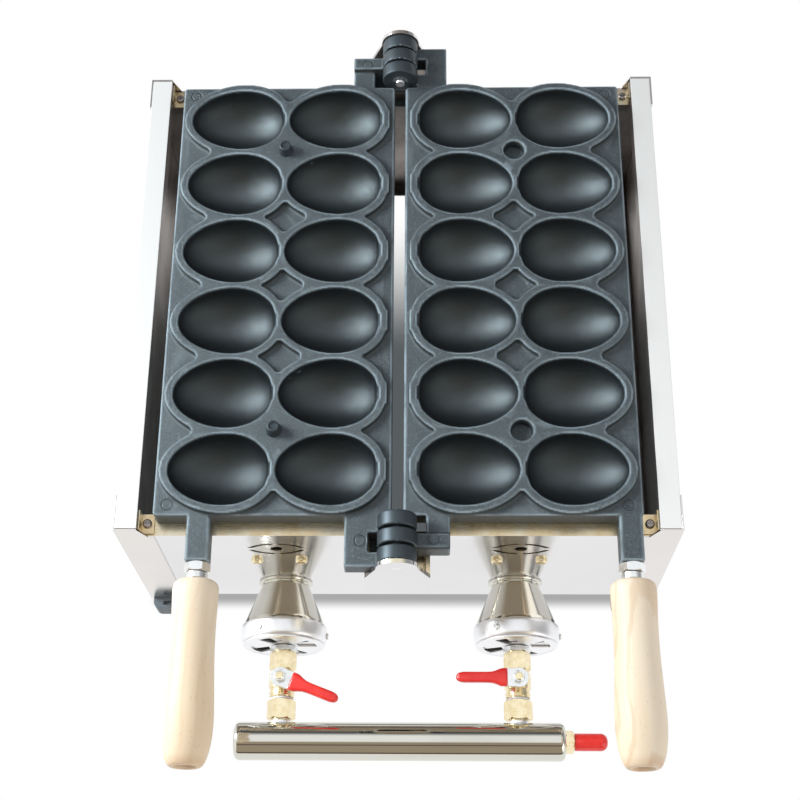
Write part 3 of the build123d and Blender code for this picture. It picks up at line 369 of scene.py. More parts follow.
tape = layeredFinish("threadTape", {
    "settings": {"Specular IOR Level": 0.4}, "noises": {"wrap": (700, 3.0, 0.6, (0.15, 1.6, 0.15))},
    "tone": (0.82, 0.83, 0.84), "layers": [("wrap", (0.35, 0.7), 1.0, (0.62, 0.63, 0.65))],
    "rough": 0.6, "swings": [("wrap", 0.2)], "relief": [("wrap", 1.0)], "bump": (0.6, 0.0003)})
beechLeft = turnedBeech("beechLeft", place["leftHandleX"],
                        {"side": 30.0, "spread": 0.5, "crown": -300.0, "depth": 0.10})
beechRight = turnedBeech("beechRight", place["rightHandleX"],
                         {"side": 7.0, "spread": 1.0, "crown": -318.0, "depth": 0.30})
print("finishes made")

# mesh helpers: the angle in degrees past which an edge shows, and the gaps that close
showAngle = {"nuts": 30, "turned": 32, "round": 35, "dressed": 40, "handles": 44, "sleeves": 50,
             "castings": 75}
weld = {"millimetres": 0.002, "metres": 2e-6, "sliver": 1e-6}


def shadeEdges(bm, angle):
    for face in bm.faces:
        face.smooth = True
    for edge in bm.edges:
        if len(edge.link_faces) != 2 or edge.calc_face_angle(0.0) > math.radians(angle):
            edge.smooth = False


def addPiece(bm, name, materials, body, slotName, replaced=(), shown="turned", ready=False):
    # ready meshes are in metres and whole; the others are mended and moved first
    if not ready:
        bmesh.ops.remove_doubles(bm, verts=bm.verts, dist=weld["millimetres"])
        bmesh.ops.recalc_face_normals(bm, faces=bm.faces)
        bmesh.ops.transform(bm, matrix=toMetres, verts=bm.verts)
    shadeEdges(bm, showAngle[shown])
    mesh = bpy.data.meshes.new(name)
    bm.to_mesh(mesh)
    bm.free()
    piece = bpy.data.objects.new(name, mesh)
    bpy.context.scene.collection.objects.link(piece)
    for material in (materials if isinstance(materials, list) else [materials]):
        mesh.materials.append(material)
    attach(piece, body)
    if replaced:
        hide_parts(*replaced)
    return piece


def copyNode(name):
    # a node's mesh with its loose triangles joined and its flat faces made whole
    flatAngle = 0.6
    bm = bmesh.new()
    bm.from_mesh(nodes[name].data)
    bmesh.ops.remove_doubles(bm, verts=bm.verts, dist=weld["metres"])
    bmesh.ops.dissolve_degenerate(bm, edges=bm.edges, dist=weld["sliver"])
    bmesh.ops.dissolve_limit(bm, angle_limit=math.radians(flatAngle), use_dissolve_boundaries=False,
                             verts=bm.verts, edges=bm.edges)
    return bm


def sharpEdges(bm, angle=28):
    limit = math.radians(angle)
    return [e for e in bm.edges if len(e.link_faces) == 2 and e.calc_face_angle(0.0) > limit]


def softenEdges(bm, edges, radius, segments=2):
    if edges:
        bmesh.ops.bevel(bm, geom=edges, offset=radius, offset_type="OFFSET", segments=segments,
                        profile=0.5, affect="EDGES", material=-1, clamp_overlap=True, loop_slide=True)


def flatten(piece):
    # flat faces keep flat shading and only their broken edges turn
    weigh = piece.modifiers.new("FlatFaces", "WEIGHTED_NORMAL")
    weigh.weight = 100
    weigh.keep_sharp = True


def dressNode(name, materials, body, slotName, radius, segments=2, isInner=None):
    # a node's shape with its edges broken; isInner picks the faces that take the second finish
    bm = copyNode(name)
    softenEdges(bm, sharpEdges(bm), radius / perMetre, segments)
    if isInner:
        for face in bm.faces:
            x, y, z = face.calc_center_median() * perMetre
            face.material_index = int(isInner(x, y - place["shiftY"], z, face.normal))
    flatten(addPiece(bm, name + "_piece", materials, body, slotName, (name,), "dressed", True))


def spinOutline(bm, corners, centre, axis="Y", steps=72, closed=True):
    # spins an outline of (radius, along) corners about a line through the centre
    across, level = centre
    spots = {"X": lambda radius, along: (along, across + radius, level),
             "Y": lambda radius, along: (across + radius, along, level),
             "Z": lambda radius, along: (across + radius, level, along)}
    lines = {"X": (1, 0, 0), "Y": (0, 1, 0), "Z": (0, 0, 1)}
    verts = [bm.verts.new(spots[axis](radius, along)) for radius, along in corners]
    count = len(verts)
    edges = [bm.edges.new((verts[i], verts[(i + 1) % count])) for i in range(count if closed else count - 1)]
    bmesh.ops.spin(bm, geom=verts + edges, cent=spots[axis](0, 0), axis=lines[axis], angle=2 * math.pi,
                   steps=steps, use_merge=True, use_duplicate=False)


def quarterTurn(steps):
    # the sine and cosine at even steps from 0 to 90 degrees
    turns = [math.radians(90) * i / steps for i in range(steps + 1)]
    return [(math.sin(turn), math.cos(turn)) for turn in turns]


def addCircle(bm, segments, radius=1.0, matrix=Matrix()):
    made = bmesh.ops.create_circle(bm, cap_ends=False, radius=radius, segments=segments, matrix=matrix)
    return made["verts"]


def edgesAmong(bm, verts):
    known = set(verts)
    return [e for e in bm.edges if e.verts[0] in known and e.verts[1] in known]


nutShape = {"segments": 72, "sector": 60, "chamfer": 30, "corner": 0.96, "brassCorner": 0.97}


def nutRing(bm, flats, radius, depth, frameMatrix):
    # one loop of a nut: a circle, or the six-sided outline where radius is None
    verts = addCircle(bm, nutShape["segments"])
    half = nutShape["sector"] / 2
    for vert in verts:
        angle = math.atan2(vert.co.y, vert.co.x)
        fromFlat = (math.degrees(angle) + half) % nutShape["sector"] - half
        hexRadius = flats / 2 / math.cos(math.radians(fromFlat))
        size = hexRadius if radius is None else radius
        drop = depth(hexRadius) if callable(depth) else depth
        vert.co = frameMatrix @ Vector((size * math.cos(angle), size * math.sin(angle), drop))
    return edgesAmong(bm, verts)


def addNut(bm, flats, length, bore, frameMatrix, corner=nutShape["corner"]):
    # a nut chamfered at both ends whose axis is the matrix's z, from 0 to length
    circle = flats / 2 * corner
    slope = math.tan(math.radians(nutShape["chamfer"]))

    def rise(radius):
        return max(0.0, (radius - circle) * slope)

    rings = [(bore, 0.0), (circle, 0.0), (None, rise), (None, lambda r: length - rise(r)),
             (circle, length), (bore, length)]
    loops = [nutRing(bm, flats, radius, depth, frameMatrix) for radius, depth in rings]
    for i in range(len(loops)):
        bmesh.ops.bridge_loops(bm, edges=loops[i] + loops[(i + 1) % len(loops)])


def addTurned(name, corners, centre, looks, replaced=(), shown="turned", spin=()):
    # a spun piece in its finish and on its body; spin holds the axis, steps and closed
    bm = bmesh.new()
    spinOutline(bm, corners, centre, *spin)
    return addPiece(bm, name, *looks, replaced, shown)


def addNutPiece(name, sizes, seat, looks, replaced=()):
    # sizes are the width over flats, length, bore and share of the flats that the chamfer leaves
    bm = bmesh.new()
    addNut(bm, *sizes[:3], seat, sizes[3])
    addPiece(bm, name, *looks, replaced, "nuts")


def alongY(x, y, z):
    # a frame at a point whose z runs towards the front, with a flat on top
    turn = Matrix.Rotation(math.radians(90), 4, "X") @ Matrix.Rotation(math.radians(30), 4, "Z")
    return Matrix.Translation((x, y, z)) @ turn


def alongX(x, y, z):
    return Matrix.Translation((x, y, z)) @ Matrix.Rotation(math.radians(90), 4, "Y")


def evaluated(bm, name, modifierKind, settings, group=None):
    # runs one modifier over a bmesh and gives back the result
    mesh = bpy.data.meshes.new(name)
    bm.to_mesh(mesh)
    bm.free()
    holder = bpy.data.objects.new(name, mesh)
    bpy.context.scene.collection.objects.link(holder)
    if group:
        holder.vertex_groups.new(name=group[0]).add(group[1], 1.0, "REPLACE")
    modifier = holder.modifiers.new(name, modifierKind)
    for key, value in settings.items():
        setattr(modifier, key, value)
    graph = bpy.context.evaluated_depsgraph_get()
    made = bpy.data.meshes.new_from_object(holder.evaluated_get(graph))
    bpy.data.objects.remove(holder)
    bpy.data.meshes.remove(mesh)
    result = bmesh.new()
    result.from_mesh(made)
    bpy.data.meshes.remove(made)
    return result


# moulds
def eggPlace(x, y):
    # the point's share of the way out to its egg's outline, and the hollow's depth there
    beyond = abs(x) - eggs["columnMiddle"]
    share = (beyond - math.copysign(eggs["columnPitch"] / 2, beyond)) / eggs["halfLength"]
    if abs(share) >= 1:
        return math.inf, 0.0
    row = y % eggs["rowPitch"] - eggs["rowPitch"] / 2
    width = eggs["halfWidth"] * (1 - eggs["skew"] * share)
    radius = width * math.sqrt(1 - share * share)
    return math.hypot(share, row / width), math.sqrt(max(0.0, radius * radius - row * row))


def addRims(bm, side):
    # exact egg-shaped rims laid over the solid's own, each kept to its cell so that none fills a neighbour
    look = {"inner": 0.8, "outer": 6.2, "segments": 180, "deep": 6.5}
    halfColumn, halfRow, lastRow = eggs["columnPitch"] / 2, eggs["rowPitch"] / 2, eggs["rows"] - 1
    for column in (-1, 1):
        for row in range(eggs["rows"]):
            middleX = eggs["columnMiddle"] + column * halfColumn
            middleY = (lastRow / 2 - row) * eggs["rowPitch"] + place["shiftY"]
            loops = []
            for grow in (look["inner"], look["outer"]):
                verts = addCircle(bm, look["segments"])
                for vert in verts:
                    turn = math.atan2(vert.co.y, vert.co.x)
                    share = math.cos(turn)
                    along = (eggs["halfLength"] + grow) * share
                    across = (eggs["halfWidth"] + grow) * (1 - eggs["skew"] * share) * math.sin(turn)
                    along = min(along, halfColumn) if column < 0 else max(along, -halfColumn)
                    if row < lastRow:
                        across = max(across, -halfRow)
                    if row > 0:
                        across = min(across, halfRow)
                    vert.co = Vector((side * (middleX + along), middleY + across, eggs["parting"])) / perMetre
                loops.append(edgesAmong(bm, verts))
            ring = bmesh.ops.bridge_loops(bm, edges=loops[0] + loops[1])["faces"]
            lower = bmesh.ops.extrude_face_region(bm, geom=ring, use_keep_orig=True)["geom"]
            lowVerts = [v for v in lower if isinstance(v, bmesh.types.BMVert)]
            bmesh.ops.translate(bm, verts=lowVerts, vec=(0, 0, -look["deep"] / perMetre))
            walls = {f for v in lowVerts for f in v.link_faces}
            bmesh.ops.recalc_face_normals(bm, faces=list(walls | set(ring)))


def markWear(bm, low, high):
    # gives convex edges a value for pale wear and painted highlight, and concave ones a value for painted
    # crease shade, from the bend in degrees
    wearAndHighlight = bm.verts.layers.float.new("wearAndHighlight")
    creaseShade = bm.verts.layers.float.new("creaseShade")
    for vert in bm.verts:
        edges = [e for e in vert.link_edges if len(e.link_faces) == 2]
        bends = [math.degrees(e.calc_face_angle_signed(0.0)) for e in edges]
        most, least = max(bends, default=0.0), min(bends, default=0.0)
        vert[wearAndHighlight] = min(1.0, max(0.0, (most - low) / (high - low)))
        vert[creaseShade] = min(1.0, max(0.0, (-least - low) / (high - low)))


def buildMould(side):
    # a cast plate: the node's solid melted so that every edge and foot is rounded, then exact egg hollows
    look = {"voxel": 0.85, "melts": 3, "melt": 0.5, "keep": 0.42, "hollowAbove": 165.0, "hollowEdge": 0.97,
            "hollowBlend": 0.06, "bendFrom": 5, "bendFull": 17}
    name = side + "_mould_plate"
    bm = bmesh.new()
    bm.from_mesh(nodes[name].data)
    bmesh.ops.remove_doubles(bm, verts=bm.verts, dist=weld["metres"])
    addRims(bm, -1 if side == "left" else 1)
    bm = evaluated(bm, "melt", "REMESH", {"mode": "VOXEL", "voxel_size": look["voxel"] / perMetre})
    for turn in range(look["melts"]):
        bmesh.ops.smooth_vert(bm, verts=bm.verts, factor=look["melt"], use_axis_x=True, use_axis_y=True,
                              use_axis_z=True)
    spare = []
    rowEnd = eggs["rows"] / 2 * eggs["rowPitch"]
    for vert in bm.verts:
        x, y, z = vert.co.x * perMetre, vert.co.y * perMetre - place["shiftY"], vert.co.z * perMetre
        ratio, depth = eggPlace(x, y)
        faceUp = abs(y) < rowEnd and z > look["hollowAbove"] and vert.normal.z > 0.0
        if faceUp and ratio < look["hollowEdge"]:
            hold = min(1.0, max(0.0, (look["hollowEdge"] - ratio) / look["hollowBlend"]))
            vert.co.z += ((eggs["parting"] - depth) / perMetre - vert.co.z) * hold
        else:
            spare.append(vert.index)
    bm = evaluated(bm, "thin", "DECIMATE", {"ratio": look["keep"], "vertex_group": "spare",
                                            "vertex_group_factor": 1.0}, ("spare", spare))
    print(name, "melted to", len(bm.faces), "faces")
    markWear(bm, look["bendFrom"], look["bendFull"])
    body = side + "_mould"
    addPiece(bm, body + "_casting", coat, body, "nonstick_casting", (name,), "castings", True)


def buildKnuckles(side, longEnd):
    # turned hinge knuckles over the cast ones, their ends well rounded; two at the long lug, one at the other
    look = {"radius": 14.05, "round": 1.3, "roundSteps": 6, "bore": 6.2, "bevel": 0.4, "length": 10.9,
            "long": (186.0, 211.4), "short": (198.7,)}
    spots = [(longEnd, start) for start in look["long"]] + [(-longEnd, start) for start in look["short"]]
    bore, size = look["bore"], look["round"]
    for end, start in spots:
        near, far = end * start, end * (start + look["length"])
        ring = [(bore, near), (bore + look["bevel"], near)]
        for s, c in quarterTurn(look["roundSteps"]):
            ring.append((look["radius"] - size * (1 - s), near + end * size * (1 - c)))
        for s, c in quarterTurn(look["roundSteps"]):
            ring.append((look["radius"] - size * (1 - c), far - end * size * (1 - s)))
        ring += [(bore + look["bevel"], far), (bore, far)]
        name = "_".join([side, "front" if end < 0 else "rear", "knuckle", str(round(start))])
        looks = (knuckleCoat, side + "_mould", "nonstick_casting")
        addTurned(name, ring, (0.0, place["hingeZ"]), looks, (), "round")


def buildPegs():
    # the locating pegs, tapered, with a rounded brow and a shallow dished top
    look = {"x": -90.4, "y": 120.2, "outline": [
        (0.0, 194.4), (6.3, 194.4), (5.8, 195.2), (4.7, 202.0), (4.5, 202.7), (4.1, 203.1), (3.6, 203.2),
        (3.1, 203.2), (2.9, 202.9), (2.5, 202.2), (0.0, 202.0)], "steps": 48}
    bm = bmesh.new()
    for y in (-look["y"], look["y"]):
        spinOutline(bm, look["outline"], (look["x"], y), "Z", look["steps"], False)
    addPiece(bm, "mould_pegs", knuckleCoat, "left_mould", "nonstick_casting", ("locating_pegs",), "round")


for side, longEnd in (("left", -1), ("right", 1)):
    buildMould(side)
    buildKnuckles(side, longEnd)
buildPegs()
print("moulds made")


# handles
def buildHandle(side, x, wood):
    # stations are the share of the length and the radius there
    look = {"start": 230.4, "length": 130.0, "bore": 7.4, "boreDepth": 9.0, "boreWider": 0.5,
            "boreBevel": 0.6, "rod": 4.1, "spin": ("Y", 48), "stations": [
                (0.00, 12.4), (0.012, 15.2), (0.035, 16.5), (0.09, 16.4), (0.17, 15.9), (0.27, 15.6),
                (0.38, 15.7), (0.50, 16.3), (0.62, 17.2), (0.74, 18.0), (0.84, 17.7), (0.92, 16.0),
                (0.965, 14.0), (0.99, 12.2), (1.0, 10.6)]}
    start, tail = look["start"], look["start"] + look["length"]
    corners = [(look["rod"], -start)] + [(r, -(start + look["length"] * t)) for t, r in look["stations"]]
    corners += [(look["bore"] + look["boreWider"], -tail), (look["bore"], -tail + look["boreBevel"]),
                (look["bore"], -tail + look["boreDepth"]), (look["rod"], -tail + look["boreDepth"])]
    piece = addTurned(side + "_wood_handle", corners, (x, place["handleZ"]), (wood, side + "_mould", "beech"),
                      (side + "_handle",), "handles", look["spin"])
    smooth = piece.modifiers.new("Rounding", "SUBSURF")
    smooth.levels = 1
    smooth.render_levels = 1


def buildHandleMetal(side, x):
    # lock nut, ferrule and rod before the grip, and the nut sunk in its far end
    look = {"lockSeat": -217.4, "lockNut": (16.5, 6.8, 4.0, nutShape["corner"]),
            "ferrule": [(4.0, -224.2), (6.6, -224.2), (7.8, -224.8), (7.8, -229.0), (7.3, -229.7),
                        (7.8, -230.4), (4.0, -230.4)],
            "endSeat": -351.4, "endNut": (12.5, 6.0, 4.0, nutShape["corner"]),
            "rod": [(0, -199.4), (4.0, -199.4), (4.0, -357.6), (3.2, -358.4), (0, -358.4)],
            "rodSpin": ("Y", 36, False)}
    z, looks = place["handleZ"], (zinc, side + "_mould", "zinc")
    for tag, nut, seat in (("lock", "lockNut", "lockSeat"), ("end", "endNut", "endSeat")):
        addNutPiece(side + "_handle_" + tag + "_nut", look[nut], alongY(x, look[seat], z), looks,
                    (side + "_" + tag + "_nut",))
    addTurned(side + "_handle_ferrule", look["ferrule"], (x, z), looks, (side + "_ferrule",), "nuts")
    addTurned(side + "_handle_rod", look["rod"], (x, z), looks, (side + "_handle_stud",), "nuts",
              look["rodSpin"])


for side, wood in (("left", beechLeft), ("right", beechRight)):
    buildHandle(side, place[side + "HandleX"], wood)
    buildHandleMetal(side, place[side + "HandleX"])
print("handles made")


# burners
def out(distance):
    # the y of a point that far in front of the front panel
    return place["panelFace"] - distance


def outline(corners):
    return [(radius, out(distance)) for radius, distance in corners]


burnerSides = (("left", -place["burnerX"]), ("right", place["burnerX"]))
windows = {"inner": 11.5, "outer": 26.0, "half": 21.0, "turn": 45.0, "shutterTurn": 24.0, "apart": 90.0,
           "disc": 31.5, "steps": 144}


def windowDisc(bm, centreX, bore, front, back, turn):
    # a flat ring with four sector windows, from front to back along Y
    flat = Matrix.Translation((centreX, front, place["burnerZ"])) @ Matrix.Rotation(math.radians(90), 4, "X")
    loops = []
    for radius in (bore, windows["inner"], windows["outer"], windows["disc"]):
        loops.append(edgesAmong(bm, addCircle(bm, windows["steps"], radius, flat)))
    for i in range(len(loops) - 1):
        bmesh.ops.bridge_loops(bm, edges=loops[i] + loops[i + 1])
    gone = []
    half = windows["apart"] / 2
    for face in bm.faces:
        middle = face.calc_center_median()
        dx, dz = middle.x - centreX, middle.z - place["burnerZ"]
        fromWindow = (math.degrees(math.atan2(-dz, dx)) - turn + half) % windows["apart"] - half
        if windows["inner"] < math.hypot(dx, dz) < windows["outer"] and abs(fromWindow) < windows["half"]:
            gone.append(face)
    bmesh.ops.delete(bm, geom=gone, context="FACES")
    made = bmesh.ops.extrude_face_region(bm, geom=bm.faces[:])
    moved = [v for v in made["geom"] if isinstance(v, bmesh.types.BMVert)]
    bmesh.ops.translate(bm, verts=moved, vec=(0, back - front, 0))


def buildBell(side, x):
    # corners are (radius, distance out from the panel)
    look = {
        "cone": [(16.6, 0), (20.4, 0), (20.95, 0.5), (20.95, 1.4), (20.5, 2.0), (19.4, 2.3), (18.7, 2.7),
                 (18.5, 3.4), (18.9, 4.4), (30.7, 33.0), (31.3, 34.6), (31.3, 36.6), (29.9, 36.6),
                 (29.4, 34.0), (17.2, 4.8), (16.6, 3.6)],
        "rim": [(30.6, 36.0), (32.3, 36.3), (32.9, 36.8), (33.2, 37.8), (33.3, 39.2), (33.1, 46.2),
                (32.8, 48.0), (32.3, 49.2), (31.6, 49.8), (31.2, 50.0), (31.1, 48.5), (31.5, 48.0),
                (31.7, 39.4), (31.4, 38.0), (30.6, 37.4)],
        "spin": ("Y", 96), "faceBore": 5.0, "shutterBore": 5.05, "face": (50.0, 48.5),
        "shutter": (51.5, 50.3), "shutterEdge": 0.5, "edgeOutside": 31, "edgeAngle": 40, "near": 0.01}
    axis = (x, place["burnerZ"])
    addTurned(side + "_bell_cone", outline(look["cone"]), axis, (chrome, "housing", "chrome"),
              (side + "_mixer_bell",), "round", look["spin"])
    addTurned(side + "_bell_rim", outline(look["rim"]), axis, (satinChrome, "housing", "chrome"), (), "round",
              look["spin"])
    bm = bmesh.new()
    front, back = look["face"]
    windowDisc(bm, x, look["faceBore"], out(front), out(back), windows["turn"])
    addPiece(bm, side + "_bell_face", satinChrome, "housing", "chrome", (), "nuts")
    bm = bmesh.new()
    front, back = look["shutter"]
    turn = windows["turn"] + windows["shutterTurn"]
    windowDisc(bm, x, look["shutterBore"], out(front), out(back), turn)
    outer = [e for e in sharpEdges(bm, look["edgeAngle"])
             if abs((e.verts[0].co.y + e.verts[1].co.y) / 2 - out(front)) < look["near"]
             and math.hypot(e.verts[0].co.x - x, e.verts[0].co.z - place["burnerZ"]) > look["edgeOutside"]]
    softenEdges(bm, outer, look["shutterEdge"])
    addPiece(bm, side + "_shutter_disc", satinChrome, side + "_shutter", "chrome", (side + "_air_shutter",),
             "nuts")


def buildBurnerNuts(name, material, slotName, replaced, look):
    # one nut on each burner's line, together one piece
    bm = bmesh.new()
    for side, x in burnerSides:
        seat = alongY(x, out(look["seat"]), place["burnerZ"])
        addNut(bm, look["flats"], look["length"], look["bore"], seat, look["corner"])
    addPiece(bm, name, material, "housing", slotName, (replaced,), "nuts")


for side, x in burnerSides:
    buildBell(side, x)
buildBurnerNuts("shutter_nuts", zinc, "zinc", "shutter_lock_nuts",
                {"seat": 51.8, "flats": 18.5, "length": 4.5, "bore": 5.0, "corner": nutShape["corner"]})
print("bells made")


# valves
def buildValve(side, x):
    # chamber and tape corners are (radius, distance from the panel), bonnet ones (radius, rise over the axis)
    look = {
        "start": 56.3, "hex": (18.0, 14.4, 5.0, nutShape["brassCorner"]),
        "chamber": [(4.0, 69.7), (8.6, 69.7), (8.6, 71.7), (9.4, 72.7), (10.2, 73.7), (10.2, 84.3),
                    (9.5, 85.3), (8.9, 85.7), (8.9, 87.3), (9.7, 87.7), (9.7, 89.1), (9.1, 89.5), (9.1, 90.5),
                    (9.5, 90.9), (9.3, 91.7), (8.4, 92.0), (8.4, 93.7), (4.0, 93.7)],
        "bonnet": [(3.05, 8), (6.0, 8), (6.0, 14.2), (5.2, 14.8), (5.2, 16.9), (4.7, 17.4), (3.05, 17.4)],
        "tape": [(8.42, 92.1), (8.9, 92.2), (9.05, 92.8), (8.85, 93.4), (8.42, 93.6)],
        "chamberSpin": ("Y", 64), "bonnetSpin": ("Z", 48), "tapeSpin": ("Y", 48)}
    z, looks = place["burnerZ"], (brass, "housing", "brass")
    addNutPiece(side + "_valve_hex", look["hex"], alongY(x, out(look["start"]), z), looks)
    addTurned(side + "_valve_chamber", outline(look["chamber"]), (x, z), looks, (side + "_valve_body",),
              spin=look["chamberSpin"])
    bonnet = [(radius, z + rise) for radius, rise in look["bonnet"]]
    addTurned(side + "_valve_bonnet", bonnet, (x, out(place["stemOut"])), looks, spin=look["bonnetSpin"])
    addTurned(side + "_thread_tape", outline(look["tape"]), (x, z), (tape, "housing", "zinc"),
              spin=look["tapeSpin"])


def buildSleeve(side, move):
    # the dipped sleeve, a soft flat grip that narrows to a rounded end
    # sections are the distance along, half width and half height
    look = {"sections": [
        (8.6, 6.4, 2.2), (9.2, 7.0, 2.8), (11.5, 7.0, 3.0), (14.0, 6.6, 3.0), (17.0, 5.3, 3.0),
        (20.0, 4.3, 3.0), (24.0, 4.0, 3.0), (34.0, 4.0, 3.0), (42.0, 4.0, 3.0), (45.0, 3.4, 2.7),
        (46.8, 2.2, 1.9), (47.5, 0.9, 0.8)],
        "segments": 32, "square": 0.55, "capSides": 40}
    bm = bmesh.new()
    loops = []
    for along, wide, thick in look["sections"]:
        verts = addCircle(bm, look["segments"])
        for vert in verts:
            turn = math.atan2(vert.co.y, vert.co.x)
            c, s = math.cos(turn), math.sin(turn)
            across = math.copysign(abs(c) ** look["square"], c) * wide
            up = math.copysign(abs(s) ** look["square"], s) * thick
            vert.co = Vector((along, across, up))
        loops.append(edgesAmong(bm, verts))
    for i in range(len(loops) - 1):
        bmesh.ops.bridge_loops(bm, edges=loops[i] + loops[i + 1])
    bmesh.ops.holes_fill(bm, edges=loops[0] + loops[-1], sides=look["capSides"])
    bmesh.ops.transform(bm, matrix=move, verts=bm.verts)
    addPiece(bm, side + "_vinyl_sleeve", vinyl, side + "_lever", "red_vinyl", (side + "_lever_sleeve",),
             "sleeves")


def buildLever(side, x, angle):
    # the steel lever with its red sleeve, and the nut that holds it on the stem
    look = {"level": 77.1, "edge": 0.3, "nutFrom": 78.1, "nut": (8.0, 3.6, 3.0, nutShape["corner"]),
            "nutTurn": 12, "stem": [(0, 63.5), (3.0, 63.5), (3.0, 82.1), (2.5, 82.6), (0, 82.6)],
            "stemSpin": ("Z", 32, False)}
    y, body = out(place["stemOut"]), side + "_lever"

    def seat(level, turn):
        return Matrix.Translation((x, y, level)) @ Matrix.Rotation(math.radians(turn), 4, "Z")

    buildSleeve(side, seat(look["level"], angle))
    dressNode(side + "_valve_lever", zinc, body, "zinc", look["edge"])
    addNutPiece(side + "_lever_nut", look["nut"], seat(look["nutFrom"], angle + look["nutTurn"]),
                (zinc, body, "zinc"), (side + "_stem_nut",))
    addTurned(side + "_lever_stem", look["stem"], (x, y), (brass, body, "brass"), (side + "_valve_stem",),
              "nuts", look["stemSpin"])


leverAngles = {"left": -21.4, "right": 180.0}
for side, x in burnerSides:
    buildValve(side, x)
    buildLever(side, x, leverAngles[side])
buildBurnerNuts("union_nuts", brass, "brass", "valve_unions",
                {"seat": 93.7, "flats": 19.0, "length": 15.0, "bore": 4.0, "corner": nutShape["brassCorner"]})
print("valves made")


# manifold
def buildManifold():
    # branch corners are (radius, distance from the pipe's middle line)
    look = {"tube": [(12.3, -119.0), (14.3, -119.0), (14.3, 119.0), (12.3, 119.0)], "radius": 14.3,
            "half": 119.0, "steps": 96, "flat": 2.0, "round": 4.0, "roundSteps": 6, "cap": 6.0,
            "inletBore": 4.9, "branchSteps": 64,
            "branch": [(4.0, 9), (7.2, 9), (7.4, 12.4), (8.4, 13.0), (8.4, 14.6), (7.6, 15.2), (7.2, 15.9),
                       (4.0, 15.9)]}
    y, z = out(place["pipeOut"]), place["burnerZ"]
    half, radius = look["half"], look["radius"]
    addTurned("manifold_tube", look["tube"], (y, z), (chrome, "housing", "chrome"), ("manifold_pipe",),
              "nuts", ("X", look["steps"]))
    bm = bmesh.new()
    for side, x in burnerSides:
        spinOutline(bm, [(r, y + t) for r, t in look["branch"]], (x, z), "Y", look["branchSteps"])
    addPiece(bm, "manifold_branches", satinChrome, "housing", "chrome")
    bm = bmesh.new()
    for side, inner in ((-1, 0.0), (1, look["inletBore"])):
        arc = [(radius, side * half)]
        for s, c in quarterTurn(look["roundSteps"]):
            arc.append((radius - look["round"] * (1 - c), side * (half + look["flat"] + look["round"] * s)))
        spinOutline(bm, arc + [(inner, side * (half + look["cap"]))], (y, z), "X", look["steps"], False)
    addPiece(bm, "manifold_ends", chrome, "housing", "chrome", ("manifold_end_caps",), "nuts")


def buildInlet():
    # the brass nipple on the pipe's right end and the red cap pushed over it; corners are (radius, x)
    look = {"hexStart": 125.0, "hexLength": 6.5, "flats": 15.0, "nipple": 4.9, "steps": 48,
            "tail": [(3.0, 119.0), (4.9, 119.0), (4.9, 147.7), (4.1, 148.5), (3.0, 148.5)],
            "bored": 4.95, "boreEnd": 150.0, "cap": 6.55, "capStart": 132.0, "capEnd": 157.0, "capEdge": 0.5,
            "domeStart": 5.4, "dome": 5.2, "domeSteps": 7}
    y, z = out(place["pipeOut"]), place["burnerZ"]
    bm = bmesh.new()
    addNut(bm, look["flats"], look["hexLength"], look["nipple"], alongX(look["hexStart"], y, z),
           nutShape["brassCorner"])
    spinOutline(bm, look["tail"], (y, z), "X", look["steps"])
    addPiece(bm, "inlet_fitting", brass, "housing", "brass", ("gas_inlet_fitting",), "nuts")
    start, end, radius, dome = look["capStart"], look["capEnd"], look["cap"], look["dome"]
    corners = [(look["bored"], start), (radius - look["capEdge"], start), (radius, start + look["capEdge"]),
               (radius, end - look["domeStart"])]
    for s, c in quarterTurn(look["domeSteps"])[1:]:
        corners.append((radius - dome * (1 - c), end - dome + dome * s))
    corners += [(0, end), (0, look["boreEnd"]), (look["bored"], look["boreEnd"])]
    addTurned("inlet_vinyl_cap", corners, (y, z), (vinyl, "inlet_cap", "red_vinyl"), ("gas_inlet_cap",),
              "dressed", ("X", look["steps"]))


buildManifold()
buildInlet()
print("manifold made")


# housing
def buildShell():
    # sheet pieces are bright outside and heat marked inside
    inside = {"panel": 193.0, "bend": 170.0, "wall": 202.0, "rail": 185.5, "bracket": 220.5, "level": 0.9,
              "facing": 0.5}
    shell = {
        "front_panel": (panelSteel, goldSteel, 0.35,
                        lambda x, y, z, n: z > inside["bend"] or y > -inside["panel"]),
        "rear_panel": (panelSteel, darkSteel, 0.35, lambda x, y, z, n: y < inside["panel"]),
        "left_side_panel": (railSteel, darkSteel, 0.5,
                            lambda x, y, z, n: x > -inside["wall"] and z < inside["rail"]),
        "right_side_panel": (railSteel, darkSteel, 0.5,
                             lambda x, y, z, n: x < inside["wall"] and z < inside["rail"]),
        "front_hinge_bracket": (panelSteel, goldSteel, 0.4,
                                lambda x, y, z, n: n.y > inside["facing"] or n.z > inside["level"]
                                or (abs(n.x) > inside["facing"] and y > -inside["bracket"])),
        "rear_hinge_bracket": (panelSteel, darkSteel, 0.4,
                               lambda x, y, z, n: n.y < -inside["facing"] or n.z > inside["level"]
                               or (abs(n.x) > inside["facing"] and y < inside["bracket"]))}
    for name, (outer, inner, edge, isInner) in shell.items():
        dressNode(name, [outer, inner], "housing", "housing_steel", edge, 2, isInner)


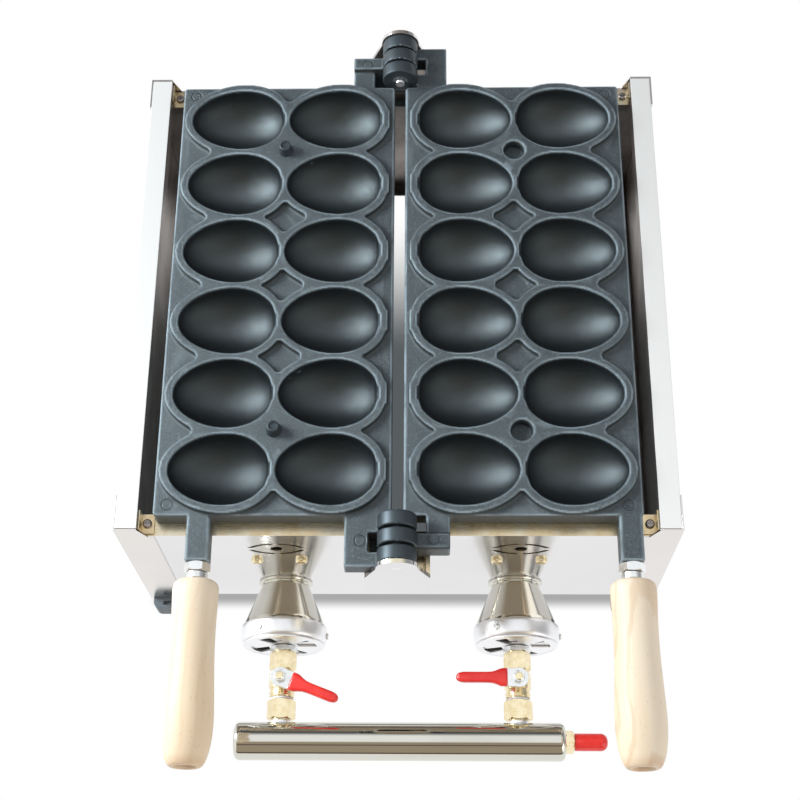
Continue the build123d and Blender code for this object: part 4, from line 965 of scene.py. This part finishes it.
def buildTrim():
    # finish, slot, edge radius and its segments
    trim = {
        "corner_posts": (postSteel, "housing_steel", 0.4, 2),
        "corner_tabs": (goldSteel, "tinted_steel", 0.3, 2),
        "corner_screws": (screwSteel, "zinc", 0.15, 2), "rubber_feet": (plastic, "foot_plastic", 0.6, 3),
        "foot_screws": (zinc, "zinc", 0.2, 2), "bracket_rivets": (zinc, "zinc", 0.4, 2),
        "hanger_screws": (brass, "brass", 0.15, 2), "rim_screws": (zinc, "zinc", 0.15, 2)}
    for name, (material, slotName, edge, segments) in trim.items():
        dressNode(name, material, "housing", slotName, edge, segments)


def buildWebs():
    # a sheet inside each hinge bracket: near-black cast coat as painted shade in the bracket's notches, and
    # heat-browned steel on the front one's right half
    look = {"level": 160.0, "edge": 23.0, "split": 6.0, "front": -216.0, "back": -186.0, "sheet": 1.2,
            "round": 0.3}
    # the dark sheets are painted shade: the near-black cast coat stands in for the shade in each bracket's
    # notch
    webs = [("front_bracket_shade_sheet", 1, -look["edge"], look["split"], coat),
            ("front_bracket_floor", 1, look["split"], look["edge"], goldSteel),
            ("rear_bracket_shade_sheet", -1, -look["edge"], look["edge"], coat)]
    for name, side, left, right, material in webs:
        bm = bmesh.new()
        bmesh.ops.create_cube(bm, size=1.0)
        middle = ((left + right) / 2, side * (look["front"] + look["back"]) / 2, look["level"])
        sheet = Matrix.Diagonal((right - left, look["back"] - look["front"], look["sheet"], 1.0))
        bmesh.ops.transform(bm, verts=bm.verts, matrix=Matrix.Translation(middle) @ sheet)
        softenEdges(bm, bm.edges[:], look["round"])
        addPiece(bm, name, material, "housing", "tinted_steel")


buildShell()
buildTrim()
buildWebs()

# the rest keep their own shape and get a finish
keptNodes = {
    "front_hinge_pin": zinc, "rear_hinge_pin": zinc, "left_burner_tube": burnerSteel,
    "right_burner_tube": burnerSteel, "burner_hangers": darkSteel, "burner_rests": darkSteel,
    "left_gas_jet": brass, "right_gas_jet": brass, "left_valve_ball": chrome, "right_valve_ball": chrome}
for name, material in keptNodes.items():
    nodes[name].data.materials.clear()
    nodes[name].data.materials.append(material)
print("housing made")


# camera, light and floor, in metres and degrees
def addCamera():
    look = {"focalPixels": 1520.68, "centreX": 390.385, "centreY": 391.394, "down": 65.669, "yaw": 3.456,
            "roll": -3.248, "spot": (0.022209, -0.482233, 1.21444), "frame": 800.0, "sensor": 36.0,
            "clip": (0.05, 50)}
    down, yaw, roll = (math.radians(look[key]) for key in ("down", "yaw", "roll"))
    ahead = Vector((-math.sin(yaw) * math.cos(down), math.cos(yaw) * math.cos(down), -math.sin(down)))
    right = Vector((math.cos(yaw), math.sin(yaw), 0))
    up = Vector((-math.sin(yaw) * math.sin(down), math.cos(yaw) * math.sin(down), math.cos(down)))
    rolledRight = right * math.cos(roll) + up * math.sin(roll)
    rolledUp = up * math.cos(roll) - right * math.sin(roll)
    data = bpy.data.cameras.new("viewCamera")
    data.sensor_width = look["sensor"]
    data.lens = look["focalPixels"] * look["sensor"] / look["frame"]
    data.shift_x = (look["frame"] / 2 - look["centreX"]) / look["frame"]
    data.shift_y = (look["centreY"] - look["frame"] / 2) / look["frame"]
    data.clip_start, data.clip_end = look["clip"]
    camera = bpy.data.objects.new("viewCamera", data)
    turn = Matrix((rolledRight, rolledUp, -ahead)).transposed().to_4x4()
    camera.matrix_world = Matrix.Translation(look["spot"]) @ turn
    bpy.context.scene.collection.objects.link(camera)
    bpy.context.scene.camera = camera


def addLamp(name, look):
    data = bpy.data.lights.new(name, "AREA")
    data.shape = "RECTANGLE"
    data.size = look["size"]
    data.size_y = look["size"]
    data.energy = look["power"]
    data.color = look["colour"]
    data.specular_factor = look["gloss"]
    lamp = bpy.data.objects.new(name, data)
    lamp.location = look["from"]
    lamp.rotation_mode = "QUATERNION"
    lamp.rotation_quaternion = (Vector(look["at"]) - Vector(look["from"])).to_track_quat("-Z", "Y")
    bpy.context.scene.collection.objects.link(lamp)


def addLights():
    # a window up on the left, and the room's own weak light from the right that gives no gloss
    addLamp("windowLamp", {"from": (-1.62, 0.35, 1.10), "at": (0.0, 0.05, 0.15), "size": 0.8, "power": 44.0,
                           "colour": (0.90, 0.965, 1.0), "gloss": 1.0})
    addLamp("roomLamp", {"from": (1.5, -1.3, 0.9), "at": (0.0, -0.1, 0.1), "size": 1.4, "power": 9.0,
                         "colour": (1.0, 0.97, 0.92), "gloss": 0.0})


def addWorld():
    # white for the camera; gloss sees a pale ceiling, a lit left wall, a dim right one and a tan front
    look = {"diffuse": 0.58, "ceiling": (1.05, 1.07, 1.09), "left": (1.12, 1.11, 1.08),
            "right": (0.34, 0.345, 0.36), "back": (0.12, 0.125, 0.13), "front": (0.40, 0.335, 0.25),
            "band": (0.13, 0.10, 0.075), "floor": 0.95,
            "ceilingFrom": (-42.0, -20.0), "frontFrom": (10.0, 18.0), "highBand": (33.0, 1.5, 4.5),
            "lowBand": (88.0, 4.0, 11.0), "floorFrom": (97.0, 106.0), "leftFrom": (0.40, 0.75),
            "rightFrom": (0.45, 0.80), "degrees": 57.3}
    world = bpy.data.worlds.new("room")
    bpy.context.scene.world = world
    world.use_nodes = True
    for node in list(world.node_tree.nodes):
        world.node_tree.nodes.remove(node)
    make = Nodes(world.node_tree)
    dx, dy, dz = make.parts(make.node("ShaderNodeTexCoord", None, None, "Generated"))
    # tilt is the angle from straight up, positive towards the front
    tilt = (dy * -1.0).calc("ARCTAN2", dz) * look["degrees"]
    room = make.mix(tilt.step(*look["ceilingFrom"]), look["back"], look["ceiling"])
    room = make.mix(tilt.step(*look["frontFrom"]), room, look["front"])
    high, low = ((1 - abs(tilt - middle).step(inner, outer))
                 for middle, inner, outer in (look["highBand"], look["lowBand"]))
    room = make.mix(high + low, room, look["band"])
    room = make.mix(tilt.step(*look["floorFrom"]), room, grey(look["floor"]))
    room = make.mix((dx * -1.0).step(*look["leftFrom"]), room, look["left"])
    room = make.mix(dx.step(*look["rightFrom"]), room, look["right"])
    isCamera, isGlossy = make.rays()
    shown = make.mix(isCamera, make.mix(isGlossy, grey(look["diffuse"]), room), grey(1.0))
    back = make.node("ShaderNodeBackground", None, {"Color": shown, "Strength": 1.0})
    output = world.node_tree.nodes.new("ShaderNodeOutputWorld")
    world.node_tree.links.new(back.socket, output.inputs["Surface"])


def addFloor():
    # pale floor that glows white where nothing stands near, with a painted shadow strip along the front panel
    # and painted shade under the housing
    look = {"size": 14.0, "pale": 0.80, "rough": 0.9, "gloss": 0.1, "sides": (0.193, 0.211),
            "deep": {"from": (-0.118, -0.080), "until": (0.252, 0.262), "fades": (0.10, 0.25)},
            "near": {"from": (-0.133, -0.121), "until": (0.262, 0.272), "fades": (0.0, 0.15)},
            "shade": (0.10, 0.11, 0.115), "strip": (0.40, 0.40, 0.40)}
    bm = bmesh.new()
    bmesh.ops.create_grid(bm, x_segments=1, y_segments=1, size=look["size"] / 2)
    mesh = bpy.data.meshes.new("studioFloor")
    bm.to_mesh(mesh)
    bm.free()
    floor = bpy.data.objects.new("studioFloor", mesh)
    bpy.context.scene.collection.objects.link(floor)
    made = Finish("paleFloor", {"Roughness": look["rough"], "Specular IOR Level": look["gloss"],
                                "Base Color": grey(look["pale"])})
    x, y = made.parts(made.coords)[:2]
    beside = 1 - abs(x).step(*look["sides"])
    tone = (1.0, 1.0, 1.0)
    # painted shadows: a grey strip just in front of the front panel and dark shade under the housing, both
    # fading towards the back
    for patch, colour in (("near", look["strip"]), ("deep", look["shade"])):
        edges = look[patch]
        ended = (1 - y.step(*edges["until"])) * (1 - y.step(*edges["fades"]))
        tone = made.mix(beside * y.step(*edges["from"]) * ended, tone, colour)
    isCamera, isGlossy = made.rays()
    glow = made.node("ShaderNodeEmission", None, {"Color": tone, "Strength": 1.0})
    plain = Value(made, made.shader.outputs[0])
    both = made.node("ShaderNodeMixShader", None, [isCamera.calc("MAXIMUM", isGlossy), plain, glow])
    made.fill(made.tree.nodes["Material Output"].inputs["Surface"], both)
    mesh.materials.append(made.material)


addCamera()
addLights()
addWorld()
addFloor()
bpy.context.scene.view_settings.view_transform = "Standard"
print("camera, light and floor made")
